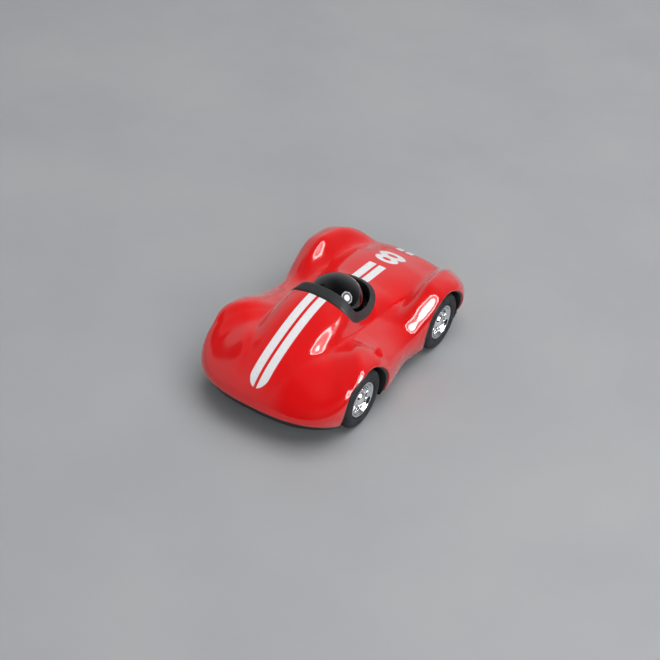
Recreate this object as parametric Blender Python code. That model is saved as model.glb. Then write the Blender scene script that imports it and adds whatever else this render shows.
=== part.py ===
"""Pull-back racing car, about 127 x 76 x 42 mm: nose to -Y, driver's left to +X, wheels on z = 0."""
import math

import bmesh
import bpy
import numpy as np

for old in list(bpy.data.objects):
    bpy.data.objects.remove(old, do_unlink=True)

MM = 0.001

# ---- driving dimensions, millimetres -------------------------------------------------------
FRONT_AXLE_Y = -31.4
REAR_AXLE_Y = 33.6
AXLE_Z = 13.2
AXLE_R = 1.5
AXLE_HALF = 32.4
FIT = 0.3                       # clearance between neighbouring pieces

TYRE_R = 13.2
TYRE_BORE_R = 8.35
TYRE_IN_X = 27.0
TYRE_OUT_X = 34.6
HUB_R = 8.05
ARCH_R = 16.4                   # opening in the body side
LINER_OUT_R = 16.05
LINER_IN_R = 14.7
LINER_IN_X = 25.3
LINER_WALL = 1.0
LINER_OUT_X = 36.7

NOSE_CENTRE_Y = -33.3           # plan of the body: rounded nose, waisted sides, rounded tail
NOSE_LENGTH = 30.3
NOSE_POWER = 2.66
FRONT_HALF_WIDTH = 37.1
TAIL_CENTRE_Y = 36.5
TAIL_LENGTH = 27.3
TAIL_POWER = 3.15
REAR_HALF_WIDTH = 37.1
WAIST_DEPTH = 3.0
WAIST_Y = 6.5
WAIST_SPREAD = 13.5
SHELL = 1.8
TUCK = 1.2                      # how far the sill turns in below the widest line

# stations along the car:
#  y, hood top, hood half width, valley floor, wing ridge, valley x, ridge x, widest z, shoulder, sill z
STATIONS = (
    (-64, 41.5, 6.0, 41.5, 36.0, 8.0, 22.0, 14.0, 1.8, 12.6),
    (-56, 41.5, 9.0, 41.5, 36.0, 10.0, 25.0, 14.5, 1.9, 11.0),
    (-46, 42.0, 13.0, 40.0, 35.9, 14.0, 27.0, 16.0, 2.5, 9.3),
    (-34, 42.6, 17.0, 35.0, 35.3, 17.0, 28.0, 19.0, 3.6, 8.4),
    (-24, 42.8, 18.0, 31.5, 33.0, 19.0, 28.0, 19.0, 3.4, 8.2),
    (-14, 42.4, 18.0, 28.5, 28.8, 20.0, 28.0, 16.2, 2.9, 8.2),
    (0, 37.5, 18.0, 26.5, 26.4, 21.0, 28.0, 13.8, 2.7, 8.2),
    (10, 32.2, 18.0, 25.2, 27.4, 21.0, 29.0, 13.6, 2.6, 8.2),
    (20, 28.6, 19.0, 24.2, 31.8, 20.0, 29.0, 16.4, 2.8, 8.2),
    (32, 28.1, 21.0, 23.5, 36.5, 18.0, 28.0, 19.4, 2.95, 8.6),
    (44, 27.4, 22.0, 21.6, 36.1, 16.0, 27.0, 18.6, 2.8, 9.4),
    (56, 26.2, 22.0, 19.4, 31.9, 13.0, 25.5, 15.8, 2.7, 10.5),
    (64, 25.0, 22.0, 18.4, 26.8, 12.0, 24.0, 14.9, 3.0, 11.0),
)

# cockpit opening: D shaped in plan, flat towards the nose
COCKPIT_MID_Y = -6.0
COCKPIT_HALF = 16.3
COCKPIT_FRONT = 10.5
COCKPIT_BACK = 23.5
COCKPIT_FRONT_POWER = 4.5
COCKPIT_BACK_POWER = 2.3
RIM_HALF = 13.9
RIM_FRONT = 4.8
RIM_BACK = 20.6
TUB_FLOOR_Z = 24.4
HELMET_Y = -1.9
HELMET_Z = 30.0
HELMET_R = 12.35

BASE_BOTTOM_Z = 6.2
NOSE_LIP_Z = 9.0

# pull-back motor
MODULE = 0.5
AXLE_TEETH = 12
CLUTCH_TEETH = 24
CLUTCH_PINION_TEETH = 10
SPRING_TEETH = 24
MESH_SLACK = 0.12
CLUTCH_Y = REAR_AXLE_Y - 0.5 * MODULE * (AXLE_TEETH + CLUTCH_TEETH) - MESH_SLACK
CLUTCH_Z = AXLE_Z
SPRING_Y = CLUTCH_Y - 0.5 * MODULE * (CLUTCH_PINION_TEETH + SPRING_TEETH) - MESH_SLACK
SPRING_Z = AXLE_Z
CASE_HALF_X = 10.0
CASE_WALL = 1.5
CASE_Y0 = 6.9
CASE_Y1 = 38.8
CASE_Z0 = 5.6                   # the case looks out through a window in the base
CASE_Z1 = 20.8
LUG_Z0 = 9.7
PIN_R = 0.75

BASE_SCREWS = (("base_screw_front", 0.0, -49.0), ("base_screw_rear_left", 13.0, 49.0),
               ("base_screw_rear_right", -13.0, 49.0))
POST_R = 3.2
POST_BOTTOM_Z = 10.4
PAD_TOP_Z = 10.0
PAD_R = 4.6


# ---- materials ------------------------------------------------------------------------------
def material(name, colour, rough, metal=0.0, coat=0.0):
    mat = bpy.data.materials.new(name)
    mat.use_nodes = True
    bsdf = mat.node_tree.nodes["Principled BSDF"]
    bsdf.inputs["Base Color"].default_value = (*colour, 1.0)
    bsdf.inputs["Roughness"].default_value = rough
    bsdf.inputs["Metallic"].default_value = metal
    bsdf.inputs["Coat Weight"].default_value = coat
    mat.diffuse_color = (*colour, 1.0)
    return mat


RED = (0.72, 0.008, 0.010)
CHARCOAL = (0.022, 0.023, 0.024)
BLACK = (0.006, 0.006, 0.007)
RUBBER = (0.020, 0.021, 0.024)
CHROME = (0.78, 0.79, 0.80)
STEEL = (0.55, 0.56, 0.57)
ZINC = (0.60, 0.60, 0.58)
NYLON = (0.78, 0.77, 0.72)
CASE_GREY = (0.16, 0.17, 0.18)
SPRING_BLUE = (0.20, 0.22, 0.27)


# ---- mesh helpers ---------------------------------------------------------------------------
def make(name, verts, faces, look, origin=(0.0, 0.0, 0.0), smooth=False):
    """One object from millimetre vertices, with its origin at the given millimetre point."""
    mesh = bpy.data.meshes.new(name)
    ox, oy, oz = origin
    points = [((x - ox) * MM, (y - oy) * MM, (z - oz) * MM) for x, y, z in verts]
    mesh.from_pydata(points, [], [tuple(int(i) for i in f) for f in faces])
    bm = bmesh.new()
    bm.from_mesh(mesh)
    bmesh.ops.recalc_face_normals(bm, faces=bm.faces)
    bm.to_mesh(mesh)
    bm.free()
    mesh.materials.append(look)
    for poly in mesh.polygons:
        poly.use_smooth = smooth
    obj = bpy.data.objects.new(name, mesh)
    obj.location = (ox * MM, oy * MM, oz * MM)
    bpy.context.scene.collection.objects.link(obj)
    return obj


def soften(obj, degrees=40.0):
    """Smooth shading that keeps the hard edges."""
    for poly in obj.data.polygons:
        poly.use_smooth = True
    mod = obj.modifiers.new("crisp", "EDGE_SPLIT")
    obj.modifiers.remove(mod)
    obj.data.set_sharp_from_angle(angle=math.radians(degrees))


def boolean(obj, cutter, operation):
    mod = obj.modifiers.new(operation.lower(), "BOOLEAN")
    mod.operation = operation
    mod.solver = "EXACT"
    mod.object = cutter
    cutter.hide_render = True
    cutter.display_type = "WIRE"


def apply_modifiers(obj):
    """Bake the modifier stack into the mesh and drop the helpers it used."""
    graph = bpy.context.evaluated_depsgraph_get()
    mesh = bpy.data.meshes.new_from_object(obj.evaluated_get(graph))
    helpers = [m.object for m in obj.modifiers if m.type == "BOOLEAN"]
    obj.modifiers.clear()
    obj.data = mesh
    for helper in helpers:
        bpy.data.objects.remove(helper, do_unlink=True)


def clean(obj, merge=0.0001):
    bm = bmesh.new()
    bm.from_mesh(obj.data)
    bmesh.ops.remove_doubles(bm, verts=bm.verts, dist=merge * 0.2)
    bmesh.ops.dissolve_degenerate(bm, dist=0.00002, edges=bm.edges)
    bm.verts.index_update()
    seen = {}
    for face in bm.faces:
        seen.setdefault(frozenset(v.index for v in face.verts), []).append(face)
    folded = [f for group in seen.values() if len(group) > 1 for f in group]
    bmesh.ops.delete(bm, geom=folded, context="FACES_ONLY")
    bmesh.ops.triangulate(bm, faces=[f for f in bm.faces if len(f.verts) > 4])
    bmesh.ops.recalc_face_normals(bm, faces=bm.faces)
    bm.to_mesh(obj.data)
    bm.free()


def lathe_x(profile, cy, cz, steps=28, closed=True):
    """Turn an (x, r) outline about the line through (cy, cz) along X."""
    verts = []
    rings = []
    for x, r in profile:
        if r <= 1e-9:
            rings.append([len(verts)])
            verts.append((x, cy, cz))
            continue
        ring = []
        for k in range(steps):
            a = 2.0 * math.pi * k / steps
            ring.append(len(verts))
            verts.append((x, cy + r * math.cos(a), cz + r * math.sin(a)))
        rings.append(ring)
    pairs = list(zip(rings, rings[1:]))
    if closed:
        pairs.append((rings[-1], rings[0]))
    faces = []
    for a, b in pairs:
        for k in range(steps):
            j = (k + 1) % steps
            if len(a) == 1 and len(b) == 1:
                continue
            if len(a) == 1:
                faces.append((a[0], b[k], b[j]))
            elif len(b) == 1:
                faces.append((a[k], b[0], a[j]))
            else:
                faces.append((a[k], b[k], b[j], a[j]))
    return verts, faces


def lathe_z(profile, cx, cy, steps=24):
    """Turn an (r, z) outline that starts and ends on the axis."""
    verts, faces = lathe_x([(z, r) for r, z in profile], 0.0, 0.0, steps, closed=False)
    return [(cx + y, cy + z, x) for x, y, z in verts], faces


def box(x0, x1, y0, y1, z0, z1):
    verts = [(x, y, z) for x in (x0, x1) for y in (y0, y1) for z in (z0, z1)]
    faces = [(0, 1, 3, 2), (4, 6, 7, 5), (0, 4, 5, 1), (2, 3, 7, 6), (0, 2, 6, 4), (1, 5, 7, 3)]
    return verts, faces


def rod_x(r, x0, x1, cy, cz, steps=24):
    return lathe_x([(x0, 0.0), (x0, r), (x1, r), (x1, 0.0)], cy, cz, steps, closed=False)


def rod_z(r, z0, z1, cx, cy, steps=24):
    return lathe_z([(0.0, z0), (r, z0), (r, z1), (0.0, z1)], cx, cy, steps)


def helper(verts, faces):
    return make("helper", verts, faces, HELPER)


def stack(loops):
    """A closed solid from matching closed loops, with flat fans at both ends."""
    n = len(loops[0])
    verts = [p for loop in loops for p in loop]
    faces = []
    for i in range(len(loops) - 1):
        for k in range(n):
            j = (k + 1) % n
            faces.append((i * n + k, i * n + j, (i + 1) * n + j, (i + 1) * n + k))
    for i in (0, len(loops) - 1):
        mid = len(verts)
        ring = loops[i]
        verts.append(tuple(sum(p[a] for p in ring) / n for a in range(3)))
        faces += [(mid, i * n + k, i * n + (k + 1) % n) for k in range(n)]
    return verts, faces


# ---- the body surface -----------------------------------------------------------------------
TABLE = np.array(STATIONS, float)


def monotone_slopes(xs, ys):
    h = np.diff(xs)
    d = np.diff(ys) / h
    m = np.zeros_like(ys)
    m[0] = d[0]
    m[-1] = d[-1]
    for i in range(1, len(ys) - 1):
        if d[i - 1] * d[i] > 0:
            w1 = 2 * h[i] + h[i - 1]
            w2 = h[i] + 2 * h[i - 1]
            m[i] = (w1 + w2) / (w1 / d[i - 1] + w2 / d[i])
    return m


SLOPES = [monotone_slopes(TABLE[:, 0], TABLE[:, i]) for i in range(TABLE.shape[1])]


def station(i, y):
    """Column i of the station table at any y, joined by a monotone cubic."""
    xs = TABLE[:, 0]
    y = np.clip(np.asarray(y, float), xs[0], xs[-1])
    k = np.clip(np.searchsorted(xs, y, side="right") - 1, 0, len(xs) - 2)
    h = xs[k + 1] - xs[k]
    t = (y - xs[k]) / h
    v0 = TABLE[k, i]
    v1 = TABLE[k + 1, i]
    m0 = SLOPES[i][k] * h
    m1 = SLOPES[i][k + 1] * h
    t2 = t * t
    t3 = t2 * t
    return (2 * t3 - 3 * t2 + 1) * v0 + (t3 - 2 * t2 + t) * m0 + (3 * t2 - 2 * t3) * v1 + (t3 - t2) * m1


def ease(t):
    t = np.clip(t, 0.0, 1.0)
    return t * t * (3.0 - 2.0 * t)


def half_outline(n=2001):
    """Plan of the left side from the nose tip to the tail tip."""
    t = np.linspace(0.0, 1.0, n)
    qn = np.clip(t / 0.40, 0.0, 1.0) * math.pi / 2
    qt = np.clip((t - 0.62) / 0.38, 0.0, 1.0) * math.pi / 2
    m = np.clip((t - 0.40) / 0.22, 0.0, 1.0)
    xn = FRONT_HALF_WIDTH * np.sin(qn) ** (2 / NOSE_POWER)
    yn = NOSE_CENTRE_Y - NOSE_LENGTH * np.clip(np.cos(qn), 0, 1) ** (2 / NOSE_POWER)
    xt = REAR_HALF_WIDTH * np.clip(np.cos(qt), 0, 1) ** (2 / TAIL_POWER)
    yt = TAIL_CENTRE_Y + TAIL_LENGTH * np.sin(qt) ** (2 / TAIL_POWER)
    xs = FRONT_HALF_WIDTH + (REAR_HALF_WIDTH - FRONT_HALF_WIDTH) * ease(m)
    ys = NOSE_CENTRE_Y + (TAIL_CENTRE_Y - NOSE_CENTRE_Y) * m
    x = np.where(t < 0.40, xn, np.where(t < 0.62, xs, xt))
    y = np.where(t < 0.40, yn, np.where(t < 0.62, ys, yt))
    x = x - WAIST_DEPTH * np.exp(-((y - WAIST_Y) / WAIST_SPREAD) ** 2)
    x[0] = 0.0
    x[-1] = 0.0
    return x, y


def outline(count):
    """The whole plan outline as evenly spaced points, starting at the nose."""
    x, y = half_outline()
    d = np.concatenate(([0.0], np.cumsum(np.hypot(np.diff(x), np.diff(y)))))
    u = np.linspace(0.0, d[-1], count // 2 + 1)
    px = np.interp(u, d, x)
    py = np.interp(u, d, y)
    return np.concatenate((px, -px[-2:0:-1])), np.concatenate((py, py[-2:0:-1]))


def crown(x, y):
    """Height of hood, valleys and wings before the shoulders round it off."""
    ax = np.abs(x)
    top, width, valley, ridge, valley_x, ridge_x = [station(i, y) for i in range(1, 7)]
    low = valley - 7.0
    hood = low + (top - low) * np.sqrt(np.clip(1.0 - (ax / width) ** 3, 0.0, 1.0))
    wing = valley + (ridge - valley) * ease((ax - valley_x) / (ridge_x - valley_x))
    high = np.maximum(hood, wing)
    soft = 1.3 + 3.4 * ease((y - 3.0) / 15.0) - 2.4 * ease((y - 41.0) / 13.0)
    return high + soft * np.log(np.exp((hood - high) / soft) + np.exp((wing - high) / soft))


def skin(rows, count):
    """Grid of points over the body: from the middle out to the sides, then down to the sill."""
    ox, oy = outline(count)
    s = np.sin(np.linspace(0.0, math.pi / 2, rows + 1))[1:, None]
    x = s * ox
    y = s * oy
    wide = station(7, oy)
    power = station(8, oy)
    sill = station(9, oy)
    z = wide + (crown(x, y) - wide) * np.clip(1.0 - s ** power, 0.0, 1.0) ** (1.0 / power)
    grid = [np.stack((x, y, z), -1)]
    for k in (0.34, 0.67, 1.0):
        q = 1.0 - TUCK * k ** 2 / 40.0
        grid.append(np.stack((ox * q, oy * q, wide - k * (wide - sill)), -1)[None])
    return np.concatenate(grid)


def height(x, y):
    """Body height over any plan point."""
    ox, oy = outline(720)
    phi = np.arctan2(oy, ox)
    order = np.argsort(phi)
    phi = phi[order]
    rad = np.hypot(ox, oy)[order]
    edge_y = oy[order]
    a = np.arctan2(y, x)
    r = np.interp(a, phi, rad, period=2 * math.pi)
    ey = np.interp(a, phi, edge_y, period=2 * math.pi)
    s = np.clip(np.hypot(x, y) / r, 0.0, 1.0)
    wide = station(7, ey)
    power = station(8, ey)
    return wide + (crown(x, y) - wide) * (1.0 - s ** power) ** (1.0 / power)


def grid_normals(grid):
    around = np.roll(grid, -1, 1) - np.roll(grid, 1, 1)
    down = np.gradient(grid, axis=0)
    n = np.cross(around, down)
    n /= np.linalg.norm(n, axis=-1, keepdims=True) + 1e-12
    return n * np.sign(n[:8, :, 2].mean())


def skin_solid(rows, count, thickness):
    """Hollow shell, open at the bottom: outer skin, inner skin and the rim that joins them."""
    outer = skin(rows, count)
    n = grid_normals(outer)
    n[-1, :, 2] = 0.0
    n[-1] /= np.linalg.norm(n[-1], axis=-1, keepdims=True)
    inner = outer - thickness * n
    inner[-1, :, 2] = outer[-1, :, 2]
    total = len(outer)
    verts = [tuple(p) for p in outer.reshape(-1, 3)] + [tuple(p) for p in inner.reshape(-1, 3)]
    top = float(height(np.array(0.0), np.array(1e-3)))
    mid = len(verts)
    verts.append((0.0, 0.0, top))
    verts.append((0.0, 0.0, top - thickness))
    faces = []
    for side in (0, 1):
        base = side * total * count
        for i in range(total - 1):
            for k in range(count):
                j = (k + 1) % count
                quad = (base + i * count + k, base + (i + 1) * count + k,
                        base + (i + 1) * count + j, base + i * count + j)
                faces.append(quad if side == 0 else quad[::-1])
        for k in range(count):
            tri = (mid + side, base + k, base + (k + 1) % count)
            faces.append(tri if side == 0 else tri[::-1])
    a = (total - 1) * count
    b = total * count + a
    for k in range(count):
        j = (k + 1) % count
        faces.append((a + k, b + k, b + j, a + j))
    return verts, faces


def envelope(rows, count, inset):
    """Solid just inside the outer skin, used to trim the wheel liners."""
    outer = skin(rows, count)
    inner = outer - inset * grid_normals(outer)
    ring = inner[-1].copy()
    ring[:, 2] = 0.0
    grid = np.concatenate((inner, ring[None]))
    total = len(grid)
    verts = [tuple(p) for p in grid.reshape(-1, 3)]
    top = len(verts)
    verts.append((0.0, 0.0, float(height(np.array(0.0), np.array(1e-3))) - inset))
    verts.append((0.0, 0.0, 0.0))
    faces = []
    for i in range(total - 1):
        for k in range(count):
            j = (k + 1) % count
            faces.append((i * count + k, (i + 1) * count + k, (i + 1) * count + j, i * count + j))
    last = (total - 1) * count
    for k in range(count):
        j = (k + 1) % count
        faces.append((top, k, j))
        faces.append((top + 1, last + j, last + k))
    return verts, faces


def d_loop(half, front, back, grow=0.0, count=36):
    """D shaped loop round the cockpit, as (x, y) points."""
    points = []
    for k in range(count):
        a = 2.0 * math.pi * k / count
        c = math.cos(a)
        s = math.sin(a)
        p = COCKPIT_FRONT_POWER if s < 0 else COCKPIT_BACK_POWER
        reach = (front if s < 0 else back) + grow
        x = (half + grow) * math.copysign(abs(c) ** (2 / p), c)
        y = COCKPIT_MID_Y + reach * math.copysign(abs(s) ** (2 / p), s)
        points.append((x, y))
    return points


def loft_d(levels):
    """Loops whose heights may follow the body: each level is (loop, z function)."""
    return [[(x, y, float(f(x, y))) for x, y in loop] for loop, f in levels]


# ---- gear and spring helpers ---------------------------------------------------------------
def gear_loop(teeth, phase=0.0):
    """Tooth outline in the y-z plane about the origin, four points a tooth."""
    pitch = 0.5 * MODULE * teeth
    tip = pitch + 0.9 * MODULE
    root = pitch - 1.2 * MODULE
    step = 2.0 * math.pi / teeth
    loop = []
    for k in range(teeth):
        a = k * step + phase
        for r, off in ((root, -0.33), (tip, -0.12), (tip, 0.12), (root, 0.33)):
            loop.append((r * math.cos(a + off * step), r * math.sin(a + off * step)))
    return loop


def ring_gear(loop, bore, x0, x1):
    """Toothed wheel with a round bore, as a closed solid between two x planes."""
    n = len(loop)
    inner = [(bore * math.cos(math.atan2(b, a)), bore * math.sin(math.atan2(b, a))) for a, b in loop]
    verts = []
    for x in (x0, x1):
        verts += [(x, a, b) for a, b in loop]
        verts += [(x, a, b) for a, b in inner]
    faces = []
    for k in range(n):
        j = (k + 1) % n
        faces.append((k, j, n + j, n + k))
        faces.append((2 * n + k, 3 * n + k, 3 * n + j, 2 * n + j))
        faces.append((k, 2 * n + k, 2 * n + j, j))
        faces.append((n + k, n + j, 3 * n + j, 3 * n + k))
    return verts, faces


def moved(verts, dy, dz):
    return [(x, y + dy, z + dz) for x, y, z in verts]


def spiral(r0, r1, turns, strip, x0, x1, steps=18):
    """Flat coiled strip about X."""
    count = int(turns * steps)
    verts = []
    for k in range(count + 1):
        a = 2.0 * math.pi * turns * k / count
        r = r0 + (r1 - r0) * k / count
        for x, rr in ((x0, r), (x1, r), (x1, r + strip), (x0, r + strip)):
            verts.append((x, rr * math.cos(a), rr * math.sin(a)))
    faces = [(0, 1, 2, 3), tuple(4 * count + i for i in (3, 2, 1, 0))]
    for k in range(count):
        for i in range(4):
            j = (i + 1) % 4
            faces.append((4 * k + i, 4 * k + j, 4 * k + 4 + j, 4 * k + 4 + i))
    return verts, faces


# ---- looks ----------------------------------------------------------------------------------
HELPER = material("helper", (1.0, 0.0, 1.0), 0.5)
MAT_BODY = material("gloss_red_plastic", RED, 0.12, coat=0.6)
MAT_BASE = material("satin_black_plastic", BLACK, 0.38)
MAT_RIM = material("matte_charcoal_plastic", CHARCOAL, 0.52)
MAT_HELMET = material("gloss_black_plastic", BLACK, 0.08, coat=0.5)
MAT_TYRE = material("black_rubber", RUBBER, 0.62)
MAT_HUB = material("chromed_plastic", CHROME, 0.10, 1.0)
MAT_STEEL = material("axle_steel", STEEL, 0.28, 1.0)
MAT_SCREW = material("zinc_screw", ZINC, 0.35, 1.0)
MAT_GEAR = material("white_nylon", NYLON, 0.42)
MAT_CASE = material("grey_motor_case", CASE_GREY, 0.45)
MAT_SPRING = material("blued_spring_steel", SPRING_BLUE, 0.30, 1.0)


# ---- body shell -----------------------------------------------------------------------------
def build_body():
    verts, faces = skin_solid(13, 60, SHELL)
    body = make("body_shell", verts, faces, MAT_BODY)
    for name, x, y in BASE_SCREWS:
        turn = np.linspace(0.0, 2 * math.pi, 17)
        roof = float(height(x + POST_R * np.cos(turn), y + POST_R * np.sin(turn)).min())
        boolean(body, helper(*rod_z(POST_R, POST_BOTTOM_Z, roof - 0.6, x, y, 16)), "UNION")
    for x0, x1 in ((25.1, 45.0), (-45.0, -25.1)):
        for y in (FRONT_AXLE_Y, REAR_AXLE_Y):
            boolean(body, helper(*rod_x(ARCH_R, x0, x1, y, AXLE_Z, 40)), "DIFFERENCE")
    hole = d_loop(COCKPIT_HALF, COCKPIT_FRONT, COCKPIT_BACK, FIT)
    boolean(body, helper(*stack([[(x, y, z) for x, y in hole] for z in (15.0, 60.0)])), "DIFFERENCE")
    for name, x, y in BASE_SCREWS:
        boolean(body, helper(*rod_z(1.5, 0.0, 15.0, x, y, 12)), "DIFFERENCE")
    apply_modifiers(body)
    clean(body)
    soften(body, 38.0)
    return body


# ---- chassis base with wheel liners ---------------------------------------------------------
def base_plate():
    """Plate closing the underside, thicker at the nose where its edge shows as a lip."""
    ox, oy = outline(64)
    q = 1.0 - TUCK / 40.0
    sill = station(9, oy)
    nose = ease((-oy - 40.0) / 20.0)
    inset = 1.3 - 0.9 * nose
    length = np.hypot(ox, oy)
    px = ox * q - inset * ox / length
    py = oy * q - inset * oy / length
    bottom = BASE_BOTTOM_Z + (NOSE_LIP_Z - BASE_BOTTOM_Z) * nose + 1.2 * ease((oy - 50.0) / 14.0)
    top = sill - FIT
    low = [(a * 0.985, b * 0.99, c) for a, b, c in zip(px, py, bottom)]
    mid = [(a, b, c + 0.7) for a, b, c in zip(px, py, bottom)]
    high = [(a, b, c) for a, b, c in zip(px, py, top)]
    return flat_stack([low, mid, high])


def flat_stack(loops):
    """Like stack, but the end faces are ladders across the car instead of fans."""
    n = len(loops[0])
    verts = [p for loop in loops for p in loop]
    faces = []
    for i in range(len(loops) - 1):
        for k in range(n):
            j = (k + 1) % n
            faces.append((i * n + k, i * n + j, (i + 1) * n + j, (i + 1) * n + k))
    for i in (0, len(loops) - 1):
        for k in range(n // 2):
            left = (k, k + 1)
            right = ((n - k) % n, n - k - 1)
            ring = [i * n + v for v in (left[0], left[1], right[1], right[0])]
            if k == 0 or k == n // 2 - 1:
                ring = list(dict.fromkeys(ring))
            faces.append(tuple(ring))
    return verts, faces


def build_base():
    verts, faces = base_plate()
    base = make("chassis_base", verts, faces, MAT_BASE)
    cut_r = 0.5 * (LINER_IN_R + LINER_OUT_R)
    sides = ((LINER_IN_X, LINER_OUT_X), (-LINER_OUT_X, -LINER_IN_X))
    for x0, x1 in sides:
        outer = 60.0 if x0 > 0 else -60.0
        near = min((x0, x1), key=abs)
        lo = min(near + math.copysign(0.4, near), outer)
        hi = max(near + math.copysign(0.4, near), outer)
        for y in (FRONT_AXLE_Y, REAR_AXLE_Y):
            boolean(base, helper(*rod_x(cut_r, lo, hi, y, AXLE_Z, 40)), "DIFFERENCE")
    for x0, x1 in sides:
        near = min((x0, x1), key=abs)
        far = max((x0, x1), key=abs)
        step = math.copysign(LINER_WALL, near)
        for y in (FRONT_AXLE_Y, REAR_AXLE_Y):
            profile = [(near, 2.2), (near, LINER_OUT_R), (far, LINER_OUT_R), (far, LINER_IN_R),
                       (near + step, LINER_IN_R), (near + step, 2.2)]
            cup = helper(*lathe_x(profile, y, AXLE_Z, 36))
            boolean(cup, helper(*envelope(10, 60, 0.8)), "INTERSECT")
            boolean(cup, helper(*box(-60, 60, -80, 80, BASE_BOTTOM_Z + 0.4, 60)), "INTERSECT")
            apply_modifiers(cup)
            boolean(base, cup, "UNION")
    for name, x, y in BASE_SCREWS:
        low = float(BASE_BOTTOM_Z + 0.2)
        boolean(base, helper(*rod_z(PAD_R, low, PAD_TOP_Z, x, y, 20)), "UNION")
    for x in (-17.0, 17.0):
        block = box(x - 4.0, x + 4.0, FRONT_AXLE_Y - 8.0, FRONT_AXLE_Y + 8.0, 7.0, 14.9)
        boolean(base, helper(*block), "UNION")
    for name, x, y in MOTOR_SCREWS:
        boolean(base, helper(*rod_z(3.6, 6.6, LUG_Z0 - FIT, x, y, 20)), "UNION")
    window = box(-CASE_HALF_X - FIT, CASE_HALF_X + FIT, CASE_Y0 - FIT, CASE_Y1 + FIT, 0.0, 12.0)
    boolean(base, helper(*window), "DIFFERENCE")
    slot = box(-24.0, 24.0, FRONT_AXLE_Y - 1.8, FRONT_AXLE_Y + 1.8, AXLE_Z, 20.0)
    boolean(base, helper(*slot), "DIFFERENCE")
    boolean(base, helper(*rod_x(1.8, -24.0, 24.0, FRONT_AXLE_Y, AXLE_Z, 20)), "DIFFERENCE")
    for name, x, y in RETAINER_SCREWS:
        boolean(base, helper(*rod_z(1.5, 9.0, 20.0, x, y, 12)), "DIFFERENCE")
    for name, x, y in tuple(BASE_SCREWS) + tuple(MOTOR_SCREWS):
        boolean(base, helper(*rod_z(2.7, 0.0, 7.9, x, y, 16)), "DIFFERENCE")
        boolean(base, helper(*rod_z(1.6, 0.0, 14.0, x, y, 12)), "DIFFERENCE")
    apply_modifiers(base)
    clean(base)
    soften(base, 35.0)
    return base


RETAINER_SCREWS = (("retainer_screw_left", 17.0, FRONT_AXLE_Y + 5.0),
                   ("retainer_screw_right", -17.0, FRONT_AXLE_Y - 5.0))
MOTOR_SCREWS = (("motor_screw_front", 5.5, CASE_Y0 - 3.4), ("motor_screw_rear", -5.5, CASE_Y1 + 3.4))


# ---- cockpit --------------------------------------------------------------------------------
def build_cockpit():
    outer = d_loop(COCKPIT_HALF, COCKPIT_FRONT, COCKPIT_BACK)
    edge = d_loop(COCKPIT_HALF, COCKPIT_FRONT, COCKPIT_BACK, -0.7)
    crest = d_loop(RIM_HALF, RIM_FRONT, RIM_BACK, 0.9)
    inner = d_loop(RIM_HALF, RIM_FRONT, RIM_BACK)

    def surface(x, y):
        return height(np.array(x), np.array(y))

    def above(gap):
        return lambda x, y: surface(x, y) + gap

    rim_top = above(0.5)
    levels = []
    for loop, rise in ((outer, -2.2), (outer, 0.1), (edge, 0.9)):
        levels.append([(x, y, float(surface(x, y)) + rise) for x, y in loop])
    for ring, rise in ((crest, 1.3), (inner, 0.7), (inner, -2.2)):
        level = []
        for (x, y), (ex, ey) in zip(ring, edge):
            level.append((x, y, float(surface(ex, ey)) + rise + 0.5))
        levels.append(level)
    n = len(outer)
    verts = [p for level in levels for p in level]
    faces = []
    for i in range(len(levels)):
        m = (i + 1) % len(levels)
        for k in range(n):
            j = (k + 1) % n
            faces.append((i * n + k, i * n + j, m * n + j, m * n + k))
    rim = make("cockpit_surround", verts, faces, MAT_RIM)
    soften(rim, 50.0)

    wall = d_loop(COCKPIT_HALF, COCKPIT_FRONT, COCKPIT_BACK, -0.1)
    inside = d_loop(COCKPIT_HALF, COCKPIT_FRONT, COCKPIT_BACK, -1.3)
    tub = []
    tub.append([(x, y, TUB_FLOOR_Z) for x, y in wall])
    tub.append([(x, y, float(surface(ox, oy)) - 2.6) for (x, y), (ox, oy) in zip(wall, outer)])
    tub.append([(x, y, float(surface(ox, oy)) - 2.6) for (x, y), (ox, oy) in zip(inside, outer)])
    tub.append([(x, y, TUB_FLOOR_Z + 1.3) for x, y in inside])
    verts, faces = stack(tub)
    tub = make("cockpit_tub", verts, faces, MAT_BASE)
    boolean(tub, helper(*rod_z(2.8, 0.0, 40.0, 0.0, HELMET_Y, 20)), "DIFFERENCE")
    apply_modifiers(tub)
    clean(tub)
    soften(tub, 40.0)

    low = TUB_FLOOR_Z + 1.6
    a0 = math.asin((low + 0.4 - HELMET_Z) / HELMET_R)
    profile = [(0.0, TUB_FLOOR_Z - 0.6), (2.5, TUB_FLOOR_Z - 0.6), (2.5, low)]
    profile.append((HELMET_R * math.cos(a0) - 0.4, low))
    for k in range(11):
        a = a0 + (math.pi / 2 - a0) * k / 10
        r = HELMET_R * math.cos(a) if k < 10 else 0.0
        profile.append((r, HELMET_Z + HELMET_R * math.sin(a)))
    verts, faces = lathe_z(profile, 0.0, HELMET_Y, 28)
    helmet = make("driver_helmet", verts, faces, MAT_HELMET)
    soften(helmet, 40.0)


# ---- wheels and axles -----------------------------------------------------------------------
def hub_profile(side):
    """Deep-dished cap: (x, r) from the inner face round to the centre dome, blind bore inside."""
    points = [(32.7, 0.0), (32.7, 1.8), (27.6, 1.8), (27.6, HUB_R), (34.0, HUB_R), (34.3, 7.7),
              (33.5, 7.0), (33.0, 6.0), (33.0, 4.4), (33.8, 2.8), (34.3, 0.0)]
    return [(side * x, r) for x, r in points]


def tyre_profile(side):
    points = [(TYRE_IN_X, TYRE_BORE_R), (TYRE_IN_X, 11.6), (28.2, TYRE_R), (33.0, TYRE_R),
              (34.3, 12.4), (34.9, 10.8), (TYRE_OUT_X, TYRE_BORE_R)]
    return [(side * x, r) for x, r in points]


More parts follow.
